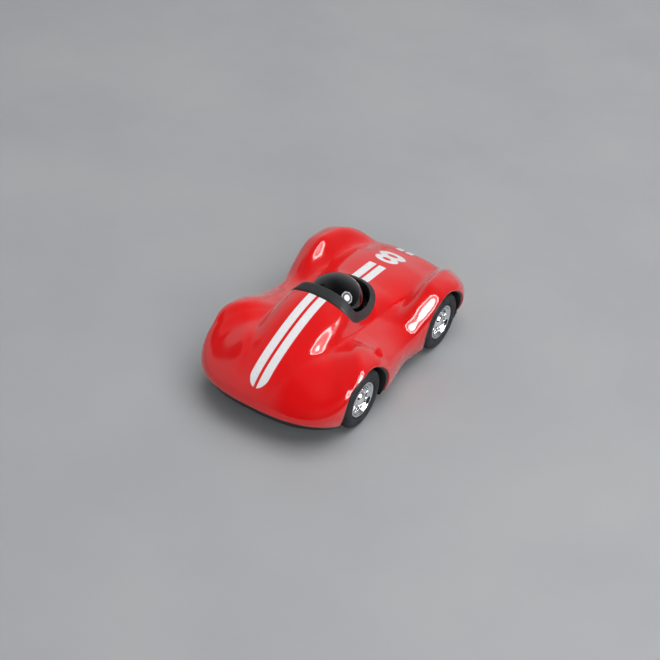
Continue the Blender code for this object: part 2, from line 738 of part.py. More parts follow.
def build_axle(name, y, half):
    profile = [(-half, 0.0), (-half, AXLE_R - 0.2), (-half + 0.3, AXLE_R), (half - 0.3, AXLE_R),
               (half, AXLE_R - 0.2), (half, 0.0)]
    verts, faces = lathe_x(profile, y, AXLE_Z, 20, closed=False)
    obj = make(name, verts, faces, MAT_STEEL, (0.0, y, AXLE_Z))
    soften(obj, 40.0)


def build_wheels(end, y):
    for word, side in (("left", 1.0), ("right", -1.0)):
        verts, faces = lathe_x(hub_profile(side), y, AXLE_Z, 20, closed=False)
        hub = make(f"{end}_{word}_hub", verts, faces, MAT_HUB, (0.0, y, AXLE_Z))
        soften(hub, 55.0)
        verts, faces = lathe_x(tyre_profile(side), y, AXLE_Z, 24)
        tyre = make(f"{end}_{word}_tyre", verts, faces, MAT_TYRE, (0.0, y, AXLE_Z))
        soften(tyre, 60.0)


# ---- screws ---------------------------------------------------------------------------------
def build_screw(name, x, y, head_z, length, point_up):
    """Pan head screw; the head face sits at head_z and the shank runs away from it."""
    d = 1.0 if point_up else -1.0
    head = 1.2
    profile = [(0.0, head_z), (1.6, head_z), (2.1, head_z + 0.4 * d), (2.1, head_z + head * d),
               (1.15, head_z + head * d), (1.15, head_z + (head + length - 0.8) * d),
               (0.4, head_z + (head + length) * d), (0.0, head_z + (head + length) * d)]
    verts, faces = lathe_z(profile, x, y, 12)
    screw = make(name, verts, faces, MAT_SCREW)
    sign = box(x - 1.2, x + 1.2, y - 0.25, y + 0.25, head_z - 0.5, head_z + 0.5)
    boolean(screw, helper(*sign), "DIFFERENCE")
    apply_modifiers(screw)
    clean(screw)
    soften(screw, 40.0)


# ---- front axle strap -----------------------------------------------------------------------
def build_retainer():
    strap = make("front_axle_retainer",
                 *box(-21.0, 21.0, FRONT_AXLE_Y - 7.4, FRONT_AXLE_Y + 7.4, 15.2, 16.8), MAT_BASE)
    for name, x, y in RETAINER_SCREWS:
        boolean(strap, helper(*rod_z(1.5, 10.0, 20.0, x, y, 12)), "DIFFERENCE")
    window = box(-11.0, 11.0, FRONT_AXLE_Y - 4.4, FRONT_AXLE_Y + 4.4, 10.0, 20.0)
    boolean(strap, helper(*window), "DIFFERENCE")
    apply_modifiers(strap)
    clean(strap)


# ---- pull-back motor ------------------------------------------------------------------------
def build_case():
    for word, side in (("left", 1.0), ("right", -1.0)):
        lo, hi = sorted((side * FIT / 2, side * CASE_HALF_X))
        half = make(f"motor_case_{word}", *box(lo, hi, CASE_Y0, CASE_Y1, CASE_Z0, CASE_Z1), MAT_CASE)
        inner = sorted((-side * 1.0, side * (CASE_HALF_X - CASE_WALL)))
        hollow = box(inner[0], inner[1], CASE_Y0 + CASE_WALL, CASE_Y1 - CASE_WALL,
                     CASE_Z0 + 0.8, CASE_Z1 - 0.8)
        front = side > 0
        name, sx, sy = MOTOR_SCREWS[0 if front else 1]
        y0, y1 = (CASE_Y0 - 6.6, CASE_Y0 + 0.8) if front else (CASE_Y1 - 0.8, CASE_Y1 + 6.6)
        x0, x1 = sorted((side * 2.2, side * 8.8))
        boolean(half, helper(*box(x0, x1, y0, y1, LUG_Z0, LUG_Z0 + 3.8)), "UNION")
        boolean(half, helper(*hollow), "DIFFERENCE")
        x0, x1 = sorted((side * 5.0, side * 20.0))
        boolean(half, helper(*rod_x(1.9, x0, x1, REAR_AXLE_Y, AXLE_Z, 16)), "DIFFERENCE")
        x0, x1 = sorted((side * 5.0, side * 9.4))
        for y, z in ((CLUTCH_Y, CLUTCH_Z), (SPRING_Y, SPRING_Z)):
            boolean(half, helper(*rod_x(PIN_R + FIT, x0, x1, y, z, 14)), "DIFFERENCE")
        boolean(half, helper(*rod_z(1.5, 0.0, LUG_Z0 + 3.0, sx, sy, 12)), "DIFFERENCE")
        apply_modifiers(half)
        clean(half)
        soften(half, 35.0)


def build_gears():
    # axle pinion, fixed on the rear axle
    verts, faces = ring_gear(gear_loop(AXLE_TEETH), AXLE_R + FIT, -5.9, -2.9)
    make("axle_pinion", moved(verts, REAR_AXLE_Y, AXLE_Z), faces, MAT_GEAR, (0.0, REAR_AXLE_Y, AXLE_Z))

    # clutch gear: the wheel meets the axle pinion with a gap facing its tooth
    half_step = math.pi / CLUTCH_TEETH
    verts, faces = ring_gear(gear_loop(CLUTCH_TEETH, half_step), PIN_R + FIT, -5.4, -3.4)
    wheel = make("clutch_gear", moved(verts, CLUTCH_Y, CLUTCH_Z), faces, MAT_GEAR,
                 (0.0, CLUTCH_Y, CLUTCH_Z))
    verts, faces = ring_gear(gear_loop(CLUTCH_PINION_TEETH, math.pi), PIN_R + FIT, -3.9, 0.6)
    boolean(wheel, helper(moved(verts, CLUTCH_Y, CLUTCH_Z), faces), "UNION")
    apply_modifiers(wheel)
    wheel.location = (0.0, CLUTCH_Y * MM, CLUTCH_Z * MM)
    clean(wheel)

    verts, faces = ring_gear(gear_loop(SPRING_TEETH, math.pi / SPRING_TEETH), PIN_R + FIT, -1.8, 0.0)
    spring_gear = make("spring_gear", moved(verts, SPRING_Y, SPRING_Z), faces, MAT_GEAR,
                       (0.0, SPRING_Y, SPRING_Z))
    hub = [(-3.0, PIN_R + FIT), (-3.0, 2.0), (7.6, 2.0), (7.6, PIN_R + FIT)]
    boolean(spring_gear, helper(*lathe_x(hub, SPRING_Y, SPRING_Z, 20)), "UNION")
    apply_modifiers(spring_gear)
    clean(spring_gear)

    verts, faces = spiral(2.5, 5.7, 3.75, 0.3, 0.9, 6.9)
    make("mainspring", moved(verts, SPRING_Y, SPRING_Z), faces, MAT_SPRING,
         (0.0, SPRING_Y, SPRING_Z))
    for name, y, z in (("clutch_pin", CLUTCH_Y, CLUTCH_Z), ("spring_pin", SPRING_Y, SPRING_Z)):
        pin = make(name, *rod_x(PIN_R, -9.1, 9.1, y, z, 14), MAT_STEEL, (0.0, y, z))
        soften(pin, 40.0)


build_body()
build_base()
build_cockpit()
build_axle("front_axle", FRONT_AXLE_Y, AXLE_HALF)
build_axle("rear_axle", REAR_AXLE_Y, AXLE_HALF)
build_wheels("front", FRONT_AXLE_Y)
build_wheels("rear", REAR_AXLE_Y)
build_retainer()
build_case()
build_gears()
for screw_name, sx, sy in BASE_SCREWS:
    build_screw(screw_name, sx, sy, 6.4, 6.6, True)
for screw_name, sx, sy in MOTOR_SCREWS:
    build_screw(screw_name, sx, sy, 6.4, 4.6, True)
for screw_name, sx, sy in RETAINER_SCREWS:
    build_screw(screw_name, sx, sy, 18.3, 6.4, False)
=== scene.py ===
"""Looks of the pull-back racing car: fine surfaces, printed stripes, materials, light and camera."""

import math

import bmesh
import bpy
import numpy as np
from mathutils import Matrix, Vector


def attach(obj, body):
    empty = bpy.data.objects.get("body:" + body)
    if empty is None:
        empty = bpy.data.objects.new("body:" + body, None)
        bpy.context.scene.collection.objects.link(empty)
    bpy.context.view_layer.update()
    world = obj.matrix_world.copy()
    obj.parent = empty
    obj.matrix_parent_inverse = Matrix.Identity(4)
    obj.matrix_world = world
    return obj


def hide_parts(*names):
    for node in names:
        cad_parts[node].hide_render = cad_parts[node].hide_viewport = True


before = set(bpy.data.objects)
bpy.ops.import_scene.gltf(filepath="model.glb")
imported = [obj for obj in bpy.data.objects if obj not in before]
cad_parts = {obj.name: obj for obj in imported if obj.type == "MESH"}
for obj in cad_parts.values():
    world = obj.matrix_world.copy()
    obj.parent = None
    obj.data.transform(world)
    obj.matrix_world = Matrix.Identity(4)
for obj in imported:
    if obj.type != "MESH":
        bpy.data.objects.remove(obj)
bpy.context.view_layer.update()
MM = 0.001
PI = math.pi

# ---- dimensions shared with the CAD, millimetres --------------------------------------------
FRONT_AXLE_Y = -31.4
REAR_AXLE_Y = 33.6
AXLE_Z = 13.2
ARCH_R = 16.4
SHELL = 1.7
EDGE_R, EDGE_STEPS = 0.45, 5                # rolled edge of the body openings
HUB_R = 8.25
ARCH_SQUASH = 1.085                         # flattens the wheel openings above the axle
ARCH_X = 25.2                               # the wheel openings are cut from here outwards
TYRE_R = 13.2
FAR = 20.0                                  # stands for well away from any opening
NOSE = (-33.3, 30.3, 2.66, 37.1)            # centre y, length, power, half width
TAIL = (36.5, 27.3, 3.15, 37.1)
WAIST = (3.0, 6.5, 13.5)                    # depth, y, spread
NOSE_RUN, SIDE_RUN, TAIL_RUN = 0.40, 0.22, 0.38      # shares of the outline's parameter
TUCK, TUCK_AT = 1.2, 40.0                   # the sill is tucked in by the first at the second from the middle
# y, hood top, hood half width, valley, wing ridge, valley x, ridge x, widest z, shoulder, sill z
STATIONS = np.array((
    (-64, 41.5, 6.0, 41.5, 36.0, 8.0, 22.0, 14.0, 1.8, 12.6),
    (-56, 41.5, 9.0, 41.5, 36.0, 10.0, 25.0, 14.5, 1.9, 11.0),
    (-46, 42.0, 13.0, 40.0, 35.9, 14.0, 27.0, 16.0, 2.5, 9.3),
    (-34, 42.6, 17.0, 35.0, 35.3, 17.0, 28.0, 19.0, 3.6, 8.4),
    (-24, 42.8, 18.0, 31.5, 33.0, 19.0, 28.0, 19.0, 3.4, 8.2),
    (-14, 42.4, 18.0, 28.5, 28.8, 20.0, 28.0, 16.2, 2.9, 8.2),
    (0, 37.5, 18.0, 26.5, 26.4, 21.0, 28.0, 13.8, 2.7, 8.2),
    (10, 32.2, 18.0, 25.2, 27.4, 21.0, 29.0, 13.6, 2.6, 8.2),
    (20, 28.6, 19.0, 24.2, 31.8, 20.0, 29.0, 16.4, 2.8, 8.2),
    (32, 28.1, 21.0, 23.5, 36.5, 18.0, 28.0, 19.4, 2.95, 8.6),
    (44, 27.4, 22.0, 21.6, 36.1, 16.0, 27.0, 18.6, 2.8, 9.4),
    (56, 26.2, 22.0, 19.4, 31.9, 13.0, 25.5, 15.8, 2.7, 10.5),
    (64, 25.0, 22.0, 18.4, 26.8, 12.0, 24.0, 14.9, 3.0, 11.0)), float)
COCKPIT_Y = -6.0
COCKPIT = (16.3, 10.5, 23.5)                # half width, reach to the front, reach to the back
RIM = (13.9, 4.8, 20.6)
D_POWER = (4.5, 2.3)
HELMET = (-1.9, 30.0, 12.35)                # y, z, radius
TUB_FLOOR_Z = 24.4
# node, x, y, z of the head's outer face, length, points up
SCREWS = (("base_screw_front", 0.0, -49.0, 6.4, 6.6, True),
          ("base_screw_rear_left", 13.0, 49.0, 6.4, 6.6, True),
          ("base_screw_rear_right", -13.0, 49.0, 6.4, 6.6, True),
          ("motor_screw_front", 5.5, 3.5, 6.4, 4.6, True),
          ("motor_screw_rear", -5.5, 42.2, 6.4, 4.6, True),
          ("retainer_screw_left", 17.0, FRONT_AXLE_Y + 5.0, 18.3, 6.4, False),
          ("retainer_screw_right", -17.0, FRONT_AXLE_Y - 5.0, 18.3, 6.4, False))


# ---- body surface -----------------------------------------------------------------------------
def monotone_slopes(xs, ys):
    """Slopes for cubic pieces that never overshoot the stations."""
    h = np.diff(xs)
    d = np.diff(ys) / h
    m = np.zeros_like(ys)
    m[0] = d[0]
    m[-1] = d[-1]
    for i in range(1, len(ys) - 1):
        if d[i - 1] * d[i] > 0:
            w1 = 2 * h[i] + h[i - 1]
            w2 = h[i] + 2 * h[i - 1]
            m[i] = (w1 + w2) / (w1 / d[i - 1] + w2 / d[i])
    return m


SLOPES = [monotone_slopes(STATIONS[:, 0], STATIONS[:, i]) for i in range(STATIONS.shape[1])]


def station(i, y):
    """Column i of STATIONS at y."""
    xs = STATIONS[:, 0]
    y = np.clip(np.asarray(y, float), xs[0], xs[-1])
    k = np.clip(np.searchsorted(xs, y, side="right") - 1, 0, len(xs) - 2)
    h = xs[k + 1] - xs[k]
    t = (y - xs[k]) / h
    m0 = SLOPES[i][k] * h
    m1 = SLOPES[i][k + 1] * h
    t2 = t * t
    t3 = t2 * t
    return ((2 * t3 - 3 * t2 + 1) * STATIONS[k, i] + (t3 - 2 * t2 + t) * m0
            + (3 * t2 - 2 * t3) * STATIONS[k + 1, i] + (t3 - t2) * m1)


def ease(t):
    t = np.clip(t, 0.0, 1.0)
    return t * t * (3.0 - 2.0 * t)


def half_outline():
    """Left half of the plan outline, from the nose to the tail."""
    t = np.linspace(0.0, 1.0, 4001)
    tail_from = NOSE_RUN + SIDE_RUN
    qn = np.clip(t / NOSE_RUN, 0.0, 1.0) * PI / 2
    qt = np.clip((t - tail_from) / TAIL_RUN, 0.0, 1.0) * PI / 2
    m = np.clip((t - NOSE_RUN) / SIDE_RUN, 0.0, 1.0)
    xn = NOSE[3] * np.sin(qn) ** (2 / NOSE[2])
    yn = NOSE[0] - NOSE[1] * np.clip(np.cos(qn), 0, 1) ** (2 / NOSE[2])
    xt = TAIL[3] * np.clip(np.cos(qt), 0, 1) ** (2 / TAIL[2])
    yt = TAIL[0] + TAIL[1] * np.sin(qt) ** (2 / TAIL[2])
    xs = NOSE[3] + (TAIL[3] - NOSE[3]) * ease(m)
    ys = NOSE[0] + (TAIL[0] - NOSE[0]) * m
    x = np.where(t < NOSE_RUN, xn, np.where(t < tail_from, xs, xt))
    y = np.where(t < NOSE_RUN, yn, np.where(t < tail_from, ys, yt))
    x = x - WAIST[0] * np.exp(-((y - WAIST[1]) / WAIST[2]) ** 2)
    x[0] = 0.0
    x[-1] = 0.0
    return x, y


HALF_X, HALF_Y = half_outline()
RUN = np.concatenate(([0.0], np.cumsum(np.hypot(np.diff(HALF_X), np.diff(HALF_Y)))))
RUN /= RUN[-1]


def outline_at(u):
    """Plan outline at u in [0, 2): nose at 0, up the left side to the tail at 1, back along the right."""
    u = np.mod(u, 2.0)
    w = np.where(u <= 1.0, u, 2.0 - u)
    x = np.interp(w, RUN, HALF_X)
    y = np.interp(w, RUN, HALF_Y)
    return np.where(u <= 1.0, x, -x), y


def crown(x, y):
    """Upper surface before it rolls over to the side: hood and wings, blended softly."""
    ax = np.abs(x)
    top, width, valley, ridge, valley_x, ridge_x = [station(i, y) for i in range(1, 7)]
    low = valley - 7.0
    hood = low + (top - low) * np.sqrt(np.clip(1.0 - (ax / width) ** 3, 0.0, 1.0))
    wing = valley + (ridge - valley) * ease((ax - valley_x) / (ridge_x - valley_x))
    high = np.maximum(hood, wing)
    soft = 1.3 + 3.4 * ease((y - 3.0) / 15.0) - 2.4 * ease((y - 41.0) / 13.0)
    return high + soft * np.log(np.exp((hood - high) / soft) + np.exp((wing - high) / soft))


def skin(u, v):
    """Body point for u round the outline and v from the middle (0) over the shoulder (1) to the sill (2)."""
    ox, oy = outline_at(u)
    s = np.sin(np.clip(v, 0.0, 1.0) * PI / 2)
    k = np.clip(v - 1.0, 0.0, 1.0)
    wide = station(7, oy)
    power = station(8, oy)
    sill = station(9, oy)
    x = s * ox
    y = s * oy
    z = wide + (crown(x, y) - wide) * np.clip(1.0 - s ** power, 0.0, 1.0) ** (1.0 / power)
    q = 1.0 - TUCK * k ** 2 / TUCK_AT
    return np.stack((x * q, y * q, z - k * (wide - sill)), -1)


def skin_normal(u, v):
    """Outward normal from differences over a small step."""
    e = 0.0015
    v = np.clip(v, 0.02, 1.998)
    du = skin(u + e, v) - skin(u - e, v)
    dv = skin(u, v + e) - skin(u, v - e)
    n = np.cross(du, dv)
    n /= np.linalg.norm(n, axis=-1, keepdims=True) + 1e-15
    return -n


_ox, _oy = outline_at(np.linspace(0.0, 2.0, 2881))
_order = np.argsort(np.arctan2(_oy, _ox))
OUT_PHI = np.arctan2(_oy, _ox)[_order]
OUT_R = np.hypot(_ox, _oy)[_order]
OUT_Y = _oy[_order]


def height(x, y):
    """Height of the body skin over a plan point."""
    x = np.asarray(x, float)
    y = np.asarray(y, float)
    a = np.arctan2(y, x)
    r = np.interp(a, OUT_PHI, OUT_R, period=2 * PI)
    ey = np.interp(a, OUT_PHI, OUT_Y, period=2 * PI)
    s = np.clip(np.hypot(x, y) / r, 0.0, 1.0)
    wide = station(7, ey)
    power = station(8, ey)
    return wide + (crown(x, y) - wide) * (1.0 - s ** power) ** (1.0 / power)


# ---- object helpers ----------------------------------------------------------------------------
def metres(points):
    return [tuple(np.asarray(p, float) * MM) for p in points]


def linked(name, data):
    obj = bpy.data.objects.new(name, data)
    bpy.context.scene.collection.objects.link(obj)
    return obj


def add(name, verts, faces, mat, body, node=None, normals=None):
    """A smooth piece from millimetre vertices, riding on its body and standing for its CAD node."""
    mesh = bpy.data.meshes.new(name)
    mesh.from_pydata(metres(verts), [], [tuple(f) for f in faces])
    mesh.validate()
    mesh.shade_smooth()
    mesh.update()
    mesh.materials.append(mat)
    if normals is not None:
        mesh.normals_split_custom_set_from_vertices([tuple(float(c) for c in n) for n in normals])
    obj = linked(name, mesh)
    if body:
        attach(obj, body)
    if node:
        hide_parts(node)
    return obj


def orient(obj):
    """All faces outward on a closed mesh."""
    bm = bmesh.new()
    bm.from_mesh(obj.data)
    bmesh.ops.recalc_face_normals(bm, faces=bm.faces)
    bm.to_mesh(obj.data)
    bm.free()


def crease(obj, degrees):
    """Smooth shading with a hard edge where faces meet at more than the angle."""
    obj.data.shade_smooth()
    obj.data.set_sharp_from_angle(angle=math.radians(degrees))


def spline(points, per):
    """Catmull-Rom through open 2D points."""
    p = np.array(points, float)
    q = np.vstack((2 * p[0] - p[1], p, 2 * p[-1] - p[-2]))
    out = []
    for i in range(1, len(q) - 2):
        for k in range(per):
            t = k / per
            a, b, c, d = q[i - 1], q[i], q[i + 1], q[i + 2]
            out.append(0.5 * ((2 * b) + (c - a) * t + (2 * a - 5 * b + 4 * c - d) * t * t
                              + (3 * b - a - 3 * c + d) * t ** 3))
    out.append(p[-1])
    return np.array(out)


def rounded(points, radius, steps):
    """Open 2D outline with each inner corner rounded off."""
    p = [np.array(q, float) for q in points]
    out = [p[0]]
    for a, b, c in zip(p, p[1:], p[2:]):
        da = np.linalg.norm(a - b)
        dc = np.linalg.norm(c - b)
        r = min(radius, 0.45 * da, 0.45 * dc)
        s = b + (a - b) / da * r
        e = b + (c - b) / dc * r
        for k in range(steps + 1):
            t = k / steps
            out.append((1 - t) ** 2 * s + 2 * t * (1 - t) * b + t * t * e)
    out.append(p[-1])
    return np.array(out)


def lathe(profile, c1, c2, steps, axis="x", closed=False):
    """Turn an (along, radius) outline about X through y, z = c1, c2, or about Z through x, y = c1, c2."""
    def point(along, p, q):
        return (along, p, q) if axis == "x" else (p, q, along)

    verts = []
    rings = []
    for a, r in profile:
        turns = [2 * PI * k / steps for k in range(steps)] if r >= 1e-6 else [0.0]
        rings.append([len(verts) + k for k in range(len(turns))])
        if r < 1e-6:
            r = 0.0
        verts += [point(a, c1 + r * math.cos(w), c2 + r * math.sin(w)) for w in turns]
    pairs = list(zip(rings, rings[1:]))
    if closed:
        pairs.append((rings[-1], rings[0]))
    faces = []
    for a, b in pairs:
        for k in range(steps):
            j = (k + 1) % steps
            if len(a) == 1 and len(b) > 1:
                faces.append((a[0], b[k], b[j]))
            elif len(b) == 1 and len(a) > 1:
                faces.append((a[k], b[0], a[j]))
            elif len(a) > 1:
                faces.append((a[k], b[k], b[j], a[j]))
    return verts, faces


def grid_faces(rows, cols, wrap_rows=False, base=0):
    """Quads between rings of cols vertices each, one ring after another."""
    faces = []
    for i in range(rows if wrap_rows else rows - 1):
        m = (i + 1) % rows
        for k in range(cols):
            j = (k + 1) % cols
            faces.append((base + i * cols + k, base + m * cols + k, base + m * cols + j, base + i * cols + j))
    return faces


def capped_rings(rings, first, last):
    """Closed skin through the rings, with a fan to a point at either end."""
    n = len(rings[0])
    verts = [first] + [tuple(p) for ring in rings for p in ring] + [last]
    faces = grid_faces(len(rings), n, base=1)
    end = 1 + (len(rings) - 1) * n
    for k in range(n):
        j = (k + 1) % n
        faces.append((0, 1 + k, 1 + j))
        faces.append((len(verts) - 1, end + j, end + k))
    return verts, faces


def cut(obj, verts, faces, operation="DIFFERENCE"):
    """Boolean with a closed tool mesh, applied at once."""
    mesh = bpy.data.meshes.new("tool")
    mesh.from_pydata(metres(verts), [], faces)
    tool = linked("tool", mesh)
    orient(tool)
    mod = obj.modifiers.new("cut", "BOOLEAN")
    mod.operation = operation
    mod.solver = "EXACT"
    mod.object = tool
    graph = bpy.context.evaluated_depsgraph_get()
    done = bpy.data.meshes.new_from_object(obj.evaluated_get(graph))
    obj.modifiers.clear()
    obj.data = done
    bpy.data.objects.remove(tool, do_unlink=True)


def box(x0, x1, y0, y1, z0, z1):
    verts = [(x, y, z) for x in (x0, x1) for y in (y0, y1) for z in (z0, z1)]
    faces = [(0, 1, 3, 2), (4, 6, 7, 5), (0, 4, 5, 1), (2, 3, 7, 6), (0, 2, 6, 4), (1, 5, 7, 3)]
    return verts, faces


# ---- material helpers ---------------------------------------------------------------------------
class Graph:
    """Shader nodes added to a node tree by small calls."""

    def __init__(self, tree):
        self.tree = tree

    def new(self, kind):
        return self.tree.nodes.new("ShaderNode" + kind)

    def link(self, a, b):
        self.tree.links.new(a, b)

    def axes(self, vector):
        split = self.new("SeparateXYZ")
        self.link(vector, split.inputs[0])
        return [split.outputs[key] for key in "XYZ"]

    def remap(self, value, a, b, c, d, smooth=False):
        node = self.new("MapRange")
        if smooth:
            node.interpolation_type = "SMOOTHSTEP"
        for key, number in zip(("From Min", "From Max", "To Min", "To Max"), (a, b, c, d)):
            node.inputs[key].default_value = number
        self.link(value, node.inputs["Value"])
        return node.outputs["Result"]

    def math(self, op, a, b=None, clamp=False):
        node = self.new("Math")
        node.operation = op
        node.use_clamp = clamp
        for i, item in enumerate((a, b)):
            if item is None:
                continue
            if isinstance(item, (int, float)):
                node.inputs[i].default_value = item
            else:
                self.link(item, node.inputs[i])
        return node.outputs["Value"]


class Nodes(Graph):
    """A Principled material coloured by procedural nodes."""

    def __init__(self, name, colour, rough, metal=0.0, **sockets):
        self.mat = bpy.data.materials.new(name)
        self.mat.use_nodes = True
        super().__init__(self.mat.node_tree)
        self.bsdf = self.tree.nodes["Principled BSDF"]
        self.bsdf.inputs["Base Color"].default_value = (*colour, 1.0)
        self.bsdf.inputs["Roughness"].default_value = rough
        self.bsdf.inputs["Metallic"].default_value = metal
        for key, value in sockets.items():
            self.bsdf.inputs[key.replace("_", " ")].default_value = value
        self.place = self.new("TexCoord").outputs["Object"]

    def noise(self, scale, detail=3.0, rough=0.5, stretch=None):
        node = self.new("TexNoise")
        node.inputs["Scale"].default_value = scale
        node.inputs["Detail"].default_value = detail
        node.inputs["Roughness"].default_value = rough
        source = self.place
        if stretch:
            mapping = self.new("Mapping")
            mapping.inputs["Scale"].default_value = stretch
            self.link(source, mapping.inputs["Vector"])
            source = mapping.outputs["Vector"]
        self.link(source, node.inputs["Vector"])
        return node.outputs["Fac"]

    def mix(self, factor, a, b):
        node = self.new("Mix")
        node.data_type = "RGBA"
        for key, item in (("Factor", factor), ("A", a), ("B", b)):
            socket = [s for s in node.inputs if s.name == key and (s.type == "RGBA" or key == "Factor")][0]
            if isinstance(item, tuple):
                socket.default_value = (*item, 1.0)
            elif isinstance(item, (int, float)):
                socket.default_value = item
            else:
                self.link(item, socket)
        return [s for s in node.outputs if s.type == "RGBA"][0]

    def bump(self, heights):
        """Chain of bumps from (height socket, strength, distance in metres)."""
        last = None
        for value, strength, distance in heights:
            node = self.new("Bump")
            node.inputs["Strength"].default_value = strength
            node.inputs["Distance"].default_value = distance
            self.link(value, node.inputs["Height"])
            if last is not None:
                self.link(last, node.inputs["Normal"])
            last = node.outputs["Normal"]
        self.link(last, self.bsdf.inputs["Normal"])

    def vary(self, dark, light, scale):
        """Base colour drifting between two shades."""
        self.link(self.mix(self.remap(self.noise(scale, 4.0), 0.35, 0.65, 0.0, 1.0), dark, light),
                  self.bsdf.inputs["Base Color"])

    def roughen(self, low, high, scale, detail=5.0, stretch=None):
        """Roughness drifting between two values."""
        self.link(self.remap(self.noise(scale, detail, 0.6, stretch), 0.3, 0.7, low, high),
                  self.bsdf.inputs["Roughness"])


def scaled(colour, k):
    return tuple(min(1.0, c * k) for c in colour)


# ---- body paint with printed stripes and number ---------------------------------------------------
RED = (0.740, 0.0040, 0.0050)
INK = (0.86, 0.86, 0.87)
STRIPE = (0.68, 4.25)                       # inner and outer edge of each stripe, from the middle
NOSE_ROUND_Y = -56.2                        # centre of the round end of the hood stripes
HOOD_Y, DECK_Y, TAIL_Y = (-70.0, -14.0), (12.0, 33.4), (56.6, 80.0)
# the two rings of the figure: y, half width, half length, stroke
FIGURE = ((41.1, 5.6, 3.2, 2.0), (46.5, 6.5, 3.7, 2.2))


def body_material():
    m = Nodes("gloss_red_plastic_printed", RED, 0.14, Coat_Weight=0.85, Coat_Roughness=0.025,
              Specular_IOR_Level=0.5)
    x, y, z = [m.math("MULTIPLY", axis, 1.0 / MM) for axis in m.axes(m.place)]
    ax = m.math("ABSOLUTE", x)

    def inside(value, low, high):
        soft = 0.10
        up = m.remap(value, low - soft, low + soft, 0.0, 1.0)
        down = m.remap(value, high - soft, high + soft, 1.0, 0.0)
        return m.math("MULTIPLY", up, down)

    band = inside(ax, *STRIPE)
    tip = m.math("MAXIMUM", m.math("SUBTRACT", NOSE_ROUND_Y, y), 0.0)
    reach = m.math("SQRT", m.math("ADD", m.math("MULTIPLY", tip, tip), m.math("MULTIPLY", ax, ax)))
    nose = m.remap(reach, 4.15, 4.35, 1.0, 0.0)
    hood = m.math("MULTIPLY", m.math("MULTIPLY", band, nose), inside(y, *HOOD_Y))
    deck = m.math("MULTIPLY", band, inside(y, *DECK_Y))
    tail = m.math("MULTIPLY", band, inside(y, *TAIL_Y))
    tail = m.math("MULTIPLY", tail, m.remap(z, 11.4, 11.6, 0.0, 1.0))

    def ring(cy, rx, ry, stroke):
        dx = m.math("DIVIDE", x, rx)
        dy = m.math("DIVIDE", m.math("SUBTRACT", y, cy), ry)
        d = m.math("SQRT", m.math("ADD", m.math("MULTIPLY", dx, dx), m.math("MULTIPLY", dy, dy)))
        hole = 1.0 - stroke / ry
        soft = 0.05
        outer = m.remap(d, 1.0 - soft, 1.0 + soft, 1.0, 0.0)
        inner = m.remap(d, hole - soft, hole + soft, 0.0, 1.0)
        return m.math("MULTIPLY", outer, inner)

    small, large = [ring(*row) for row in FIGURE]
    number = m.math("MAXIMUM", small, large)
    ink = m.math("MAXIMUM", m.math("MAXIMUM", hood, deck), m.math("MAXIMUM", tail, number), clamp=True)
    # below the widest line the print shows only at the tail
    up = m.remap(z, 15.0, 15.3, 0.0, 1.0)
    ink_top = m.math("MULTIPLY", ink, m.math("MAXIMUM", up, m.remap(y, 50.0, 51.0, 0.0, 1.0)))

    shade = m.remap(m.noise(55.0, 3.0), 0.3, 0.7, 0.0, 1.0)
    red = m.mix(shade, scaled(RED, 0.97), scaled(RED, 1.03))
    speck = m.remap(m.noise(2600.0, 2.0), 0.68, 0.80, 0.0, 0.35)
    red = m.mix(m.math("MULTIPLY", speck, 0.05), red, (0.80, 0.30, 0.30))
    white = m.mix(m.remap(m.noise(900.0, 3.0), 0.35, 0.65, 0.0, 1.0), (0.82, 0.81, 0.84), INK)
    m.link(m.mix(ink_top, red, white), m.bsdf.inputs["Base Color"])
    gloss = m.remap(m.noise(140.0, 6.0, 0.65), 0.3, 0.7, 0.10, 0.17)
    m.link(m.math("ADD", gloss, m.math("MULTIPLY", ink_top, 0.12)), m.bsdf.inputs["Roughness"])
    m.bump([(m.noise(420.0, 2.0), 0.022, 0.0002), (ink_top, 0.35, 0.00003)])
    return m.mat


def plastic(name, colour, rough, spread=0.08, grain=3200.0, grain_depth=0.10, coat=0.0, **more):
    m = Nodes(name, colour, rough, Coat_Weight=coat, Coat_Roughness=0.05, **more)
    m.vary(scaled(colour, 0.80), scaled(colour, 1.25), 90.0)
    m.roughen(rough - spread, rough + spread, 220.0)
    m.bump([(m.noise(grain, 2.0), grain_depth, 0.00006), (m.noise(60.0, 2.0), 0.04, 0.0002)])
    return m.mat


def rubber_material():
    m = Nodes("black_rubber_worn", (0.011, 0.012, 0.0145), 0.66, Specular_IOR_Level=0.35)
    dust = m.remap(m.noise(300.0, 8.0, 0.7), 0.45, 0.75, 0.0, 0.35)
    m.link(m.mix(dust, (0.010, 0.011, 0.0135), (0.034, 0.035, 0.038)), m.bsdf.inputs["Base Color"])
    m.roughen(0.55, 0.78, 350.0)
    m.bump([(m.noise(2600.0, 3.0), 0.22, 0.00008)])
    return m.mat


def metal_material(name, colour, low, high, scale, stretch, depth):
    m = Nodes(name, colour, low, 1.0)
    m.vary(scaled(colour, 0.92), scaled(colour, 1.04), scale * 0.4)
    m.roughen(low, high, scale, 6.0, stretch)
    m.bump([(m.noise(scale * 6.0, 3.0, 0.6, stretch), depth, 0.00004)])
    return m.mat


